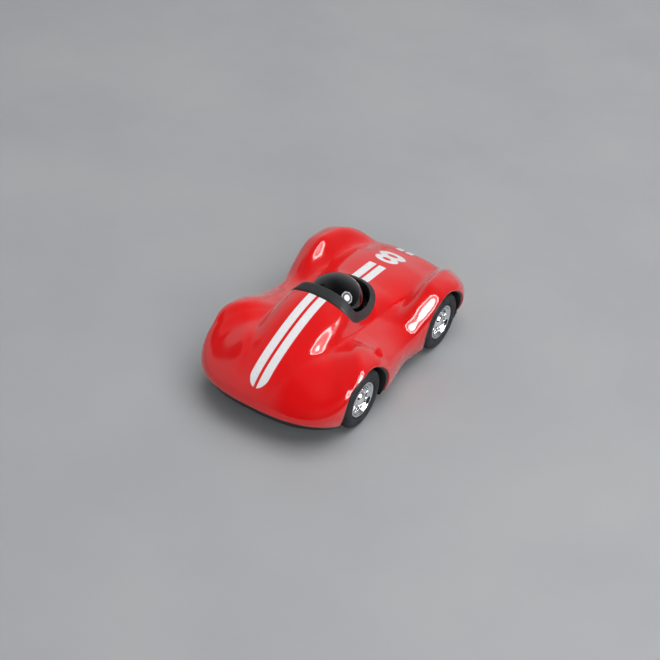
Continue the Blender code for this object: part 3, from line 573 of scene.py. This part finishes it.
def hub_material():
    """Bright plating, with painted shade: black wherever the face lies deeper than 31.6 mm out, at the bottom
    of the slots and on the barrel inside the tyre.
    """
    m = Nodes("bright_chrome_with_painted_slot_shade", (0.72, 0.73, 0.75), 0.05, 1.0)
    out = m.math("ABSOLUTE", m.axes(m.place)[0])
    # painted shade: the bottoms of the slots and the hidden barrel are coloured black, standing in for the
    # shade deep in the recesses
    beyond_slot_shade = m.remap(out, 31.6 * MM, 32.5 * MM, 0.0, 1.0)
    bright = m.mix(m.noise(128.0, 4.0), (0.66, 0.67, 0.69), (0.76, 0.77, 0.79))
    m.link(m.mix(beyond_slot_shade, (0.012, 0.012, 0.013), bright), m.bsdf.inputs["Base Color"])
    m.roughen(0.035, 0.12, 320.0, 6.0)
    m.bump([(m.noise(1920.0, 3.0, 0.6), 0.03, 0.00004)])
    return m.mat


MAT_BODY = body_material()
MAT_BASE = plastic("satin_black_plastic_moulded", (0.0085, 0.0087, 0.0095), 0.36)
MAT_RIM = plastic("charcoal_plastic_moulded", (0.019, 0.020, 0.0215), 0.47, grain_depth=0.16)
MAT_TUB = plastic("black_cockpit_plastic", (0.006, 0.006, 0.007), 0.30)
MAT_HELMET = plastic("gloss_black_helmet", (0.0030, 0.0030, 0.0035), 0.07, 0.02, 600.0, 0.012, coat=0.35)
MAT_TYRE = rubber_material()
MAT_HUB = hub_material()
MAT_STEEL = metal_material("drawn_axle_steel", (0.56, 0.57, 0.58), 0.18, 0.38, 500.0, (0.05, 1.0, 1.0), 0.12)
MAT_SCREW = metal_material("zinc_plated_screw", (0.62, 0.61, 0.57), 0.22, 0.42, 700.0, None, 0.10)
MAT_GEAR = plastic("natural_nylon_gear", (0.74, 0.72, 0.66), 0.42, Subsurface_Weight=0.15)
MAT_CASE = plastic("grey_motor_housing", (0.15, 0.16, 0.17), 0.44)
MAT_SPRING = metal_material("blued_spring_strip", (0.20, 0.22, 0.28), 0.22, 0.42, 600.0,
                            (1.0, 0.1, 0.1), 0.10)


# ---- body: dense skin, clean openings with rolled edges ----------------------------------------------
def d_value(x, y, shape, grow):
    """Negative inside the D, positive outside, roughly in millimetres."""
    half, front, back = (s + grow for s in shape)
    dy = y - COCKPIT_Y
    power = np.where(dy < 0, D_POWER[0], D_POWER[1])
    reach = np.where(dy < 0, front, back)
    q = (np.abs(x / half) ** power + np.abs(dy / reach) ** power) ** (1.0 / power)
    return (q - 1.0) * half


def arch_value(p, radius):
    """Negative inside a wheel opening."""
    x, y, z = p[..., 0], p[..., 1], p[..., 2]
    rise = (z - AXLE_Z) * np.where(z > AXLE_Z, ARCH_SQUASH, 1.0)
    d = np.minimum(np.hypot(y - FRONT_AXLE_Y, rise), np.hypot(y - REAR_AXLE_Y, rise)) - radius
    return np.where(np.abs(x) > ARCH_X, d, FAR)


def keep_value(u, v):
    """Negative inside any opening of the body, which is cut in its upper part for the cockpit."""
    p = skin(u, v)
    hole = d_value(p[..., 0], p[..., 1], COCKPIT, 0.1)
    upper_part = p[..., 2] > 20.0
    return np.minimum(np.where(upper_part, hole, FAR), arch_value(p, ARCH_R + EDGE_R))


def border_loops(polys):
    """Closed runs of edges that only one polygon uses."""
    edges = {edge for poly in polys for edge in zip(poly, poly[1:] + poly[:1])}
    left = {}
    for poly in polys:
        for a, b in zip(poly, poly[1:] + poly[:1]):
            if (b, a) not in edges:
                left[a] = b
    loops = []
    while left:
        start = next(iter(left))
        loop = [start]
        nxt = left.pop(start)
        while nxt != start and nxt in left:
            loop.append(nxt)
            nxt = left.pop(nxt)
        if len(loop) > 20:
            loops.append(loop)
    return loops


def build_body():
    """Skin as a fine grid, clipped exactly at the openings, given its thickness and rolled edges."""
    cols = 520
    top_rows = 92
    side_rows = 16
    v_from, v_to = 0.14, 1.965              # from inside the cockpit's opening to just above the sill
    vs = np.concatenate((np.linspace(v_from, 1.0, top_rows), np.linspace(1.0, v_to, side_rows + 1)[1:]))
    us = np.linspace(0.0, 2.0, cols, endpoint=False)
    uu, vv = np.meshgrid(us, vs)
    params = list(zip(uu.ravel(), vv.ravel()))
    flags = (keep_value(uu, vv) > 0.0).ravel()
    cuts = {}

    def crossing(a, b):
        """Index of the point where the edge a-b meets the opening, found by halving."""
        key = (min(a, b), max(a, b))
        if key in cuts:
            return cuts[key]
        pa = np.array(params[key[0]])
        pb = np.array(params[key[1]])
        if pb[0] - pa[0] > 1.0:
            pb[0] -= 2.0
        if pa[0] - pb[0] > 1.0:
            pb[0] += 2.0
        lo, hi = 0.0, 1.0
        fa = float(keep_value(*pa))
        for _ in range(18):
            mid = 0.5 * (lo + hi)
            if float(keep_value(*(pa + (pb - pa) * mid))) * fa > 0:
                lo = mid
            else:
                hi = mid
        params.append(tuple(pa + (pb - pa) * 0.5 * (lo + hi)))
        cuts[key] = len(params) - 1
        return cuts[key]

    polys = []
    for quad in grid_faces(len(vs), cols):
        state = [flags[i] for i in quad]
        if all(state):
            polys.append(quad)
        elif any(state):
            poly = []
            for i in range(4):
                a, b = quad[i], quad[(i + 1) % 4]
                if flags[a]:
                    poly.append(a)
                if flags[a] != flags[b]:
                    poly.append(crossing(a, b))
            if len(poly) > 2:
                polys.append(tuple(poly))
    used = sorted({i for poly in polys for i in poly})
    index = {old: new for new, old in enumerate(used)}
    polys = [tuple(index[i] for i in poly) for poly in polys]
    par = np.array([params[i] for i in used])
    outer = skin(par[:, 0], par[:, 1])
    normal = skin_normal(par[:, 0], par[:, 1])
    n = len(outer)
    verts = [outer, outer - SHELL * normal]
    norms = [normal, -normal]
    faces = list(polys) + [tuple(n + i for i in poly[::-1]) for poly in polys]
    base = 2 * n
    for loop in border_loops(polys):
        p = outer[loop]
        nn = normal[loop]
        tangent = np.roll(p, -1, 0) - np.roll(p, 1, 0)
        for _ in range(8):
            tangent = 0.5 * tangent + 0.25 * (np.roll(tangent, 1, 0) + np.roll(tangent, -1, 0))
        out = np.cross(tangent, nn)
        out /= np.linalg.norm(out, axis=1, keepdims=True)
        if points_inward(out, outer, polys, loop):
            out = -out
        # a quarter round outside, then straight down to just above the inner face
        rolled = []
        for k in range(1, EDGE_STEPS + 1):
            a = 0.5 * PI * k / EDGE_STEPS
            rolled.append((p + EDGE_R * math.sin(a) * out - EDGE_R * (1 - math.cos(a)) * nn,
                           math.cos(a) * nn + math.sin(a) * out))
        rolled.append((p + EDGE_R * out - (SHELL - 0.25) * nn, out))
        m = len(loop)
        ring_ids = [loop]
        for ring, ring_normal in rolled:
            verts.append(ring)
            norms.append(ring_normal)
            ring_ids.append(list(range(base, base + m)))
            base += m
        ring_ids.append([n + i for i in loop])
        for a, b in zip(ring_ids, ring_ids[1:]):
            for k in range(m):
                j = (k + 1) % m
                faces.append((a[j], a[k], b[k], b[j]))
    add("car_body", np.concatenate(verts), faces, MAT_BODY, "car", "body_shell",
        normals=np.concatenate(norms))


def points_inward(out, outer, polys, loop):
    """True if out points back into the skin, judged by the skin's points next to one point of the loop."""
    k = len(loop) // 3
    near = [outer[i] for poly in polys if loop[k] in poly for i in poly if i not in loop]
    return bool(near) and float(np.dot(np.mean(near, 0) - outer[loop[k]], out[k])) > 0


# ---- wheel arch liners ------------------------------------------------------------------------------
SIDE_POINTS = skin(*np.meshgrid(np.linspace(0.12, 0.95, 700), np.linspace(0.55, 2.0, 160))).reshape(-1, 3)


def side_x(y, z):
    """How far out the body's left side stands at y, z."""
    d = (SIDE_POINTS[:, 1] - y) ** 2 + (SIDE_POINTS[:, 2] - z) ** 2
    best = np.argsort(d)[:6]
    w = 1.0 / (d[best] + 1e-4)
    return float((w * SIDE_POINTS[best, 0]).sum() / w.sum())


def build_liner(name, side, cy):
    """Arch liner: a cup round the wheel, open below and reaching out to the skin above."""
    steps = 150
    x_in, x_low = 25.5, 26.9                # inner face, and how far out the low part reaches
    low = 6.7 - AXLE_Z
    lip = 0.42
    rings = []
    for a in np.linspace(0, 2 * PI, steps, endpoint=False):
        down = abs((math.degrees(a) - 270.0 + 180.0) % 360.0 - 180.0)      # 0 straight down, 180 straight up
        raised = float(ease((down - 62.0) / 10.0))
        s = math.sin(a)
        r_out = min(16.2, low / s if s < -1e-3 else 1e9)
        r_in = max(r_out - 1.55, 3.0)
        zz = max(AXLE_Z + (r_out + 0.2) * s, 8.6)
        x_edge = side_x(cy + (r_out + 0.2) * math.cos(a), zz) - 0.35 if raised > 0 else x_low
        x_end = x_low + (x_edge - x_low) * raised
        prof = [(x_in, 2.1), (x_in, r_out), (x_end - lip, r_out), (x_end - 0.12, r_out - 0.12),
                (x_end, r_out - lip), (x_end, r_in + lip), (x_end - 0.12, r_in + 0.12),
                (x_end - lip, r_in), (x_in + 1.5, r_in), (x_in + 1.0, r_in - 0.5), (x_in + 1.0, 2.1)]
        rings.append([(side * x, cy + r * math.cos(a), AXLE_Z + r * s) for x, r in prof])
    verts = [p for ring in rings for p in ring]
    obj = add(name, verts, grid_faces(steps, len(rings[0]), wrap_rows=True), MAT_BASE, "car")
    orient(obj)
    crease(obj, 32)


# ---- base plate ---------------------------------------------------------------------------------------
def build_base():
    """Slab under the outline, cut out for the wheels and the motor, with screw wells and grooves below."""
    cols = 260
    u = np.linspace(0.0, 2.0, cols, endpoint=False)
    ox, oy = outline_at(u)
    sill = station(9, oy)
    nose = ease((-oy - 40.0) / 20.0)
    q = 1.0 - TUCK / TUCK_AT
    inset = 1.25 - 0.85 * nose
    length = np.hypot(ox, oy)
    px = ox * q - inset * ox / length
    py = oy * q - inset * oy / length
    bottom = 6.2 + 2.8 * nose + 1.2 * ease((oy - 50.0) / 14.0)
    top = sill - 0.12
    loops = []
    for shrink, z in ((10.0, bottom), (1.3, bottom), (0.6, bottom + 0.12), (0.2, bottom + 0.45),
                      (0.0, bottom + 0.95), (0.0, top - 0.25), (0.1, top), (3.0, top)):
        loops.append(np.stack((px - shrink * ox / length, py - shrink * oy / length, z), -1))
    faces = grid_faces(len(loops), cols)
    # both ends closed by strips from side to side
    for i in (0, len(loops) - 1):
        for k in range(cols // 2):
            strip = [i * cols + w for w in (k, k + 1, (cols - k - 1) % cols, (cols - k) % cols)]
            strip = tuple(dict.fromkeys(strip))
            if len(strip) > 2:
                faces.append(strip)
    base = add("underside_base", np.concatenate(loops), faces, MAT_BASE, None)
    orient(base)
    notch_x, beyond, notch_r = 25.7, 60.0, 15.6
    for side in (1.0, -1.0):
        for cy in (FRONT_AXLE_Y, REAR_AXLE_Y):
            x0, x1 = sorted((side * notch_x, side * beyond))
            cut(base, *lathe([(x0, 0.0), (x0, notch_r), (x1, notch_r), (x1, 0.0)], cy, AXLE_Z, 96))
    motor_opening = (-10.3, 10.3, 6.6, 39.1, 0.0, 12.0)
    cut(base, *box(*motor_opening))
    boss = [(6.0, 0.0), (6.0, 3.7), (6.25, 4.1), (9.7, 4.2), (9.7, 0.0)]
    well = [(2.0, 0.0), (2.0, 2.8), (7.9, 2.7), (7.9, 0.0)]
    for x, y in [row[1:3] for row in SCREWS if row[5]]:
        cut(base, *lathe(boss, x, y, 48, "z"), "UNION")
        cut(base, *lathe(well, x, y, 40, "z"))
    for groove_y in (-22.0, -13.0, -4.0):
        cut(base, *box(-20.0, 20.0, groove_y - 0.6, groove_y + 0.6, 4.0, 6.75))
    crease(base, 32)
    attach(base, "car")
    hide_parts("chassis_base")


# ---- cockpit ------------------------------------------------------------------------------------------
def d_points(angles, shape, grow=0.0):
    """Points of the D at the angles: squarer in front of its centre, rounder behind."""
    half, front, back = (s + grow for s in shape)
    c = np.cos(angles)
    s = np.sin(angles)
    p = np.where(s < 0, D_POWER[0], D_POWER[1])
    reach = np.where(s < 0, front, back)
    x = half * np.sign(c) * np.abs(c) ** (2 / p)
    y = COCKPIT_Y + reach * np.sign(s) * np.abs(s) ** (2 / p)
    return x, y


def loop_angles(count):
    """Angles that space points evenly along the D."""
    a = np.linspace(0, 2 * PI, 6001)
    x, y = d_points(a, COCKPIT)
    run = np.concatenate(([0.0], np.cumsum(np.hypot(np.diff(x), np.diff(y)))))
    return np.interp(np.linspace(0, run[-1], count, endpoint=False), run, a)


# from the outer edge (0) to the inner (1), and the rise over the body: outer wall, rolled outer edge,
# crowned band, rolled inner lip, inner wall
RIM_PROFILE = ((0.0, -2.2), (0.0, -0.05), (0.02, 0.30), (0.07, 0.58), (0.16, 0.78), (0.35, 1.00),
               (0.58, 1.22), (0.78, 1.42), (0.88, 1.44), (0.95, 1.30), (0.99, 1.00), (1.0, 0.60),
               (1.0, -0.6), (0.99, -1.6), (0.97, -2.6), (0.55, -2.6))


def build_surround():
    count = 360
    ang = loop_angles(count)
    ox, oy = d_points(ang, COCKPIT)
    ix, iy = d_points(ang, RIM)
    base = height(ox, oy)
    levels = []
    for t, rise in RIM_PROFILE:
        x = ox + (ix - ox) * t
        y = oy + (iy - oy) * t
        lift = base + (height(x, y) - base) * t * 0.55
        levels.append(np.stack((x, y, lift + rise), -1))
    obj = add("cockpit_rim", np.concatenate(levels), grid_faces(len(levels), count, wrap_rows=True), MAT_RIM,
              "car", "cockpit_surround")
    orient(obj)
    crease(obj, 60)


def build_tub():
    count = 160
    ang = loop_angles(count)
    roof = height(*d_points(ang, COCKPIT)) - 2.75
    under, top = TUB_FLOOR_Z, TUB_FLOOR_Z + 1.3
    levels = []
    # up the outside and down the inside; None is the edge under the body
    for grow, z in ((-6.0, under), (-0.15, under), (-0.15, None), (-1.3, None), (-1.4, under + 2.4),
                    (-1.7, under + 1.6), (-2.4, top), (-7.0, top)):
        x, y = d_points(ang, COCKPIT, grow)
        levels.append(np.stack((x, y, roof if z is None else np.full(count, z)), -1))
    verts, faces = capped_rings(levels, (0.0, HELMET[0], under), (0.0, HELMET[0], top))
    obj = add("cockpit_tray", verts, faces, MAT_TUB, "car", "cockpit_tub")
    orient(obj)
    crease(obj, 45)


def build_helmet():
    """Dome from a short foot just over the tray's floor."""
    hy, hz, hr = HELMET
    low = TUB_FLOOR_Z + 1.7
    a0 = math.asin((low + 0.8 - hz) / hr)
    foot_r = hr * math.cos(a0)
    prof = [(low, 0.0), (low, foot_r - 1.0), (low + 0.15, foot_r - 0.4),
            (low + 0.5, hr * math.cos(a0 - 0.03))]
    steps = 48
    for k in range(steps + 1):
        a = a0 + (PI / 2 - a0) * k / steps
        prof.append((hz + hr * math.sin(a), hr * math.cos(a) if k < steps else 0.0))
    v, f = lathe(prof, 0.0, hy, 144, "z")
    obj = add("driver_dome", v, f, MAT_HELMET, "car", "driver_helmet")
    orient(obj)
    crease(obj, 50)


# ---- wheels ---------------------------------------------------------------------------------------------
# from the inner bead round the tread to the outer bead: x and radius
TYRE_PROFILE = ((27.6, 8.35), (27.15, 9.4), (27.0, 10.8), (27.35, 12.1), (28.3, 12.95), (29.6, TYRE_R),
                (31.0, TYRE_R), (32.6, TYRE_R), (33.8, 12.9), (34.65, 12.1), (35.0, 10.9), (35.0, 9.7),
                (34.75, 8.85), (34.35, 8.42), (33.8, 8.35))


def build_tyre(name, node, side, cy, body):
    shaped = []
    for x, r in spline(TYRE_PROFILE, 5):
        if x > 34.0:
            # groove moulded in the side wall
            x -= 0.10 * math.exp(-((r - 11.9) / 0.16) ** 2)
        shaped.append((side * x, min(r, TYRE_R)))
    v, f = lathe(shaped, cy, AXLE_Z, 160, closed=True)
    obj = add(name, v, f, MAT_TYRE, body, node)
    orient(obj)
    crease(obj, 50)


SLOTS, SLOT_DEPTH = 10, 1.5
SLOT_R, SLOT_HALF_ARC, SLOT_HALF_R = 5.25, 0.95, 0.55       # middle of the slots and their straight part
# the disc from the centre outwards: radius and x, with the plated lip last
DISC_R = (0.0, 0.8, 1.6, 2.3, 2.8, 3.05, 3.3, 3.7, 5.0, 6.2, 6.6, 6.95, 7.2, 7.5, 7.8, 8.05)
DISC_X = (34.75, 34.70, 34.50, 34.15, 33.75, 33.35, 33.05, 32.95, 32.90, 33.0, 33.2, 33.75, 34.25, 34.45,
          34.43, 34.15)
# from the lip round the barrel to the bore: x and radius
BARREL = ((33.9, HUB_R - 0.05), (33.6, HUB_R), (28.2, HUB_R), (27.7, 7.8), (27.6, 7.3), (27.6, 2.2),
          (27.9, 1.9), (32.5, 1.9))


def hub_face(r, phi):
    """How far out the wheel disc stands at radius r and angle phi, with raised rims round the slots."""
    wedge = (phi * SLOTS / (2 * PI)) % 1.0 - 0.5
    arc = np.abs(wedge) * 2 * PI / SLOTS * r
    d = np.hypot(np.maximum(arc - SLOT_HALF_ARC, 0.0), np.maximum(np.abs(r - SLOT_R) - SLOT_HALF_R, 0.0))
    hole = 1.0 - ease((d - 0.18) / 0.35)
    edge = np.exp(-((d - 0.62) / 0.20) ** 2)
    return np.interp(r, DISC_R, DISC_X) - SLOT_DEPTH * hole + 0.10 * edge


def build_hub(name, node, side, cy, body):
    steps = 300
    phi = np.linspace(0, 2 * PI, steps, endpoint=False)
    radii = np.concatenate((np.linspace(0.25, 3.0, 9), np.linspace(3.2, 4.2, 5), np.linspace(4.35, 6.2, 16),
                            np.linspace(6.35, 8.05, 13)))
    outline = [(hub_face(np.full(steps, r), phi), r) for r in radii]
    outline += [(np.full(steps, x), r) for x, r in BARREL]
    rings = [np.stack((side * x, cy + r * np.cos(phi), AXLE_Z + r * np.sin(phi)), -1) for x, r in outline]
    verts, faces = capped_rings(rings, (side * 34.76, cy, AXLE_Z), (side * BARREL[-1][0], cy, AXLE_Z))
    obj = add(name, verts, faces, MAT_HUB, body, node)
    orient(obj)
    crease(obj, 60)


# ---- screws -----------------------------------------------------------------------------------------------
def build_screw(node, x, y, head_z, length, up):
    """Cross-head screw with its head's outer face at head_z."""
    d = 1.0 if up else -1.0
    prof = rounded([(0.0, 0.0), (0.0, 1.3), (0.25, 1.85), (0.7, 2.1), (1.2, 2.1), (1.2, 1.15),
                    (0.8 + length * 0.9, 1.15), (1.2 + length, 0.25), (1.2 + length, 0.0)], 0.12, 2)
    v, f = lathe([(head_z + d * a, r) for a, r in prof], x, y, 40, "z")
    obj = add("fixing_" + node, v, f, MAT_SCREW, None)
    orient(obj)
    for turn in (0.4, 0.4 + PI / 2):
        c, s = math.cos(turn), math.sin(turn)
        bv, bf = box(-1.05, 1.05, -0.2, 0.2, head_z - 0.6, head_z + 0.6)
        cut(obj, [(x + a * c - b * s, y + a * s + b * c, z) for a, b, z in bv], bf)
    crease(obj, 35)
    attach(obj, "car")
    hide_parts(node)


build_body()
build_base()
for tag, side in (("left", 1.0), ("right", -1.0)):
    for end, cy in (("front", FRONT_AXLE_Y), ("rear", REAR_AXLE_Y)):
        build_liner(f"arch_liner_{end}_{tag}", side, cy)
        build_tyre(f"tyre_{end}_{tag}", f"{end}_{tag}_tyre", side, cy, f"{end}_wheels")
        build_hub(f"wheel_{end}_{tag}", f"{end}_{tag}_hub", side, cy, f"{end}_wheels")
build_surround()
build_tub()
build_helmet()
for row in SCREWS:
    build_screw(*row)

# CAD nodes that keep their shape: better materials, softened edges
CARRIED = {"front_axle": MAT_STEEL, "rear_axle": MAT_STEEL, "clutch_pin": MAT_STEEL, "spring_pin": MAT_STEEL,
           "front_axle_retainer": MAT_BASE, "motor_case_left": MAT_CASE, "motor_case_right": MAT_CASE,
           "axle_pinion": MAT_GEAR, "clutch_gear": MAT_GEAR, "spring_gear": MAT_GEAR,
           "mainspring": MAT_SPRING}
for node, mat in CARRIED.items():
    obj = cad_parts[node]
    for slot in obj.material_slots:
        slot.material = mat
    if node.startswith("motor_case"):
        soft = obj.modifiers.new("soft_edges", "BEVEL")
        soft.width = 0.00035
        soft.segments = 2
        soft.limit_method = "ANGLE"
        soft.angle_limit = math.radians(40)


# ---- floor, light and camera -----------------------------------------------------------------------
floor = Nodes("pale_floor_paint", (0.37, 0.38, 0.39), 0.55)
floor.vary((0.355, 0.365, 0.38), (0.385, 0.393, 0.403), 12.0)
floor.roughen(0.45, 0.62, 60.0)
FLOOR_HALF = 3000
floor_mesh = bpy.data.meshes.new("floor")
floor_mesh.from_pydata(metres([(sx * FLOOR_HALF, sy * FLOOR_HALF, 0)
                               for sx, sy in ((-1, -1), (1, -1), (1, 1), (-1, 1))]), [], [(0, 1, 2, 3)])
floor_mesh.materials.append(floor.mat)
linked("floor", floor_mesh)


def towards(azimuth, elevation):
    """Unit vector from the car in the direction given in degrees."""
    az = math.radians(azimuth)
    el = math.radians(elevation)
    return Vector((math.cos(az) * math.cos(el), math.sin(az) * math.cos(el), math.sin(el)))


def face_back(obj, place, way):
    """Put a light at the place, its Z axis along way, so that it shines back at the car."""
    obj.matrix_world = Matrix.Translation(place) @ way.to_track_quat("Z", "Y").to_matrix().to_4x4()


def softbox(name, azimuth, elevation, distance, radius, strength):
    """Eight-sided softbox seen in reflections: a bright middle, a darker band and a bright outer ring."""
    mat = bpy.data.materials.new(name)
    mat.use_nodes = True
    g = Graph(mat.node_tree)
    g.tree.nodes.clear()
    length = g.new("VectorMath")
    length.operation = "LENGTH"
    g.link(g.new("TexCoord").outputs["Object"], length.inputs[0])
    ramp = g.new("ValToRGB")
    g.link(g.math("MULTIPLY", length.outputs["Value"], 1.0 / (radius * MM)), ramp.inputs["Fac"])
    ramp.color_ramp.elements[0].color = (1, 1, 1, 1)
    ramp.color_ramp.elements[1].color = (0.60, 0.60, 0.60, 1)
    for pos, val in ((0.44, 1.0), (0.50, 0.10), (0.77, 0.10), (0.83, 0.60)):
        stop = ramp.color_ramp.elements.new(pos)
        stop.color = (val, val, val, 1)
    emit = g.new("Emission")
    g.link(g.math("MULTIPLY", ramp.outputs["Color"], strength), emit.inputs["Strength"])
    g.link(emit.outputs[0], g.new("OutputMaterial").inputs["Surface"])
    sides = 8
    turns = [2 * PI * k / sides + PI / sides for k in range(sides)]
    mesh = bpy.data.meshes.new(name)
    mesh.from_pydata([(radius * MM * math.cos(w), radius * MM * math.sin(w), 0) for w in turns], [],
                     [tuple(range(sides))])
    mesh.materials.append(mat)
    obj = linked(name, mesh)
    way = towards(azimuth, elevation)
    face_back(obj, Vector((0.0, 0.0, 20.0)) * MM + way * distance * MM, way)
    obj.visible_diffuse = False
    obj.visible_shadow = False


def area(name, azimuth, elevation, distance, size, power):
    """Area light that leaves no reflection of its own."""
    light = bpy.data.lights.new(name, "AREA")
    light.shape = "RECTANGLE"
    light.size = size[0] * MM
    light.size_y = size[1] * MM
    light.energy = power
    obj = linked(name, light)
    way = towards(azimuth, elevation)
    face_back(obj, way * distance * MM, way)
    obj.visible_glossy = False


softbox("key_softbox", 3.0, 37.0, 700.0, 300.0, 20.0)
area("overhead_soft", 40.0, 74.0, 1200.0, (1300.0, 1300.0), 14.5)
area("near_fill", -40.0, 26.0, 1500.0, (1200.0, 900.0), 9.0)

# studio walls behind and on the left, dim elsewhere, with a dark flag far out on the left
world = bpy.data.worlds.new("studio")
bpy.context.scene.world = world
world.use_nodes = True
walls = Graph(world.node_tree)
background = walls.tree.nodes["Background"]
sky = walls.new("TexCoord").outputs["Generated"]
sky_x, sky_y, sky_z = walls.axes(sky)
back = walls.math("MULTIPLY", walls.remap(sky_y, 0.10, 0.60, 0.0, 0.46, smooth=True),
                  walls.remap(sky_x, -0.10, 0.90, 1.0, 0.15, smooth=True))
left = walls.remap(sky_x, 0.05, -0.60, 0.0, 0.42, smooth=True)
fade = walls.remap(sky_z, 0.45, 0.95, 1.0, 0.35, smooth=True)
glow = walls.math("MULTIPLY", walls.math("MAXIMUM", back, left), fade)
flag = walls.new("VectorMath")
flag.operation = "DOT_PRODUCT"
walls.link(sky, flag.inputs[0])
flag.inputs[1].default_value = (-0.8245, -0.0867, 0.5592)
shade = walls.remap(flag.outputs["Value"], 0.970, 0.990, 1.0, 0.10, smooth=True)
walls.link(walls.math("ADD", walls.math("MULTIPLY", glow, shade), 0.045), background.inputs["Strength"])
background.inputs["Color"].default_value = (0.97, 0.985, 1.0, 1.0)

# camera: 29.3 degrees round, 38.1 up and rolled by 5.7, given in radians, with its frame shifted a little
AZ, EL, ROLL = 0.511416, 0.665257, 0.099633
AIM_Z, DISTANCE, LENS = 20.0, 663.92, 84.43
SHIFT = (-0.0083152, -0.0195621)            # in shares of the frame's width
level = Vector((math.cos(AZ), math.sin(AZ), 0.0))
backward = Vector((math.sin(AZ) * math.cos(EL), -math.cos(AZ) * math.cos(EL), math.sin(EL)))
upright = backward.cross(level)
across = level * math.cos(ROLL) + upright * math.sin(ROLL)
upward = upright * math.cos(ROLL) - level * math.sin(ROLL)
cam_data = bpy.data.cameras.new("camera")
cam_data.lens = LENS
cam_data.sensor_width = 36.0
cam_data.clip_start = 0.01
cam_data.clip_end = 20.0
cam_data.shift_x, cam_data.shift_y = SHIFT
cam = linked("camera", cam_data)
place = Vector((0.0, 0.0, AIM_Z * MM)) + backward * DISTANCE * MM
cam.matrix_world = Matrix([(across[i], upward[i], backward[i], place[i]) for i in range(3)] + [(0, 0, 0, 1)])
bpy.context.scene.camera = cam
bpy.context.scene.view_settings.view_transform = "Standard"
bpy.context.scene.view_settings.look = "None"
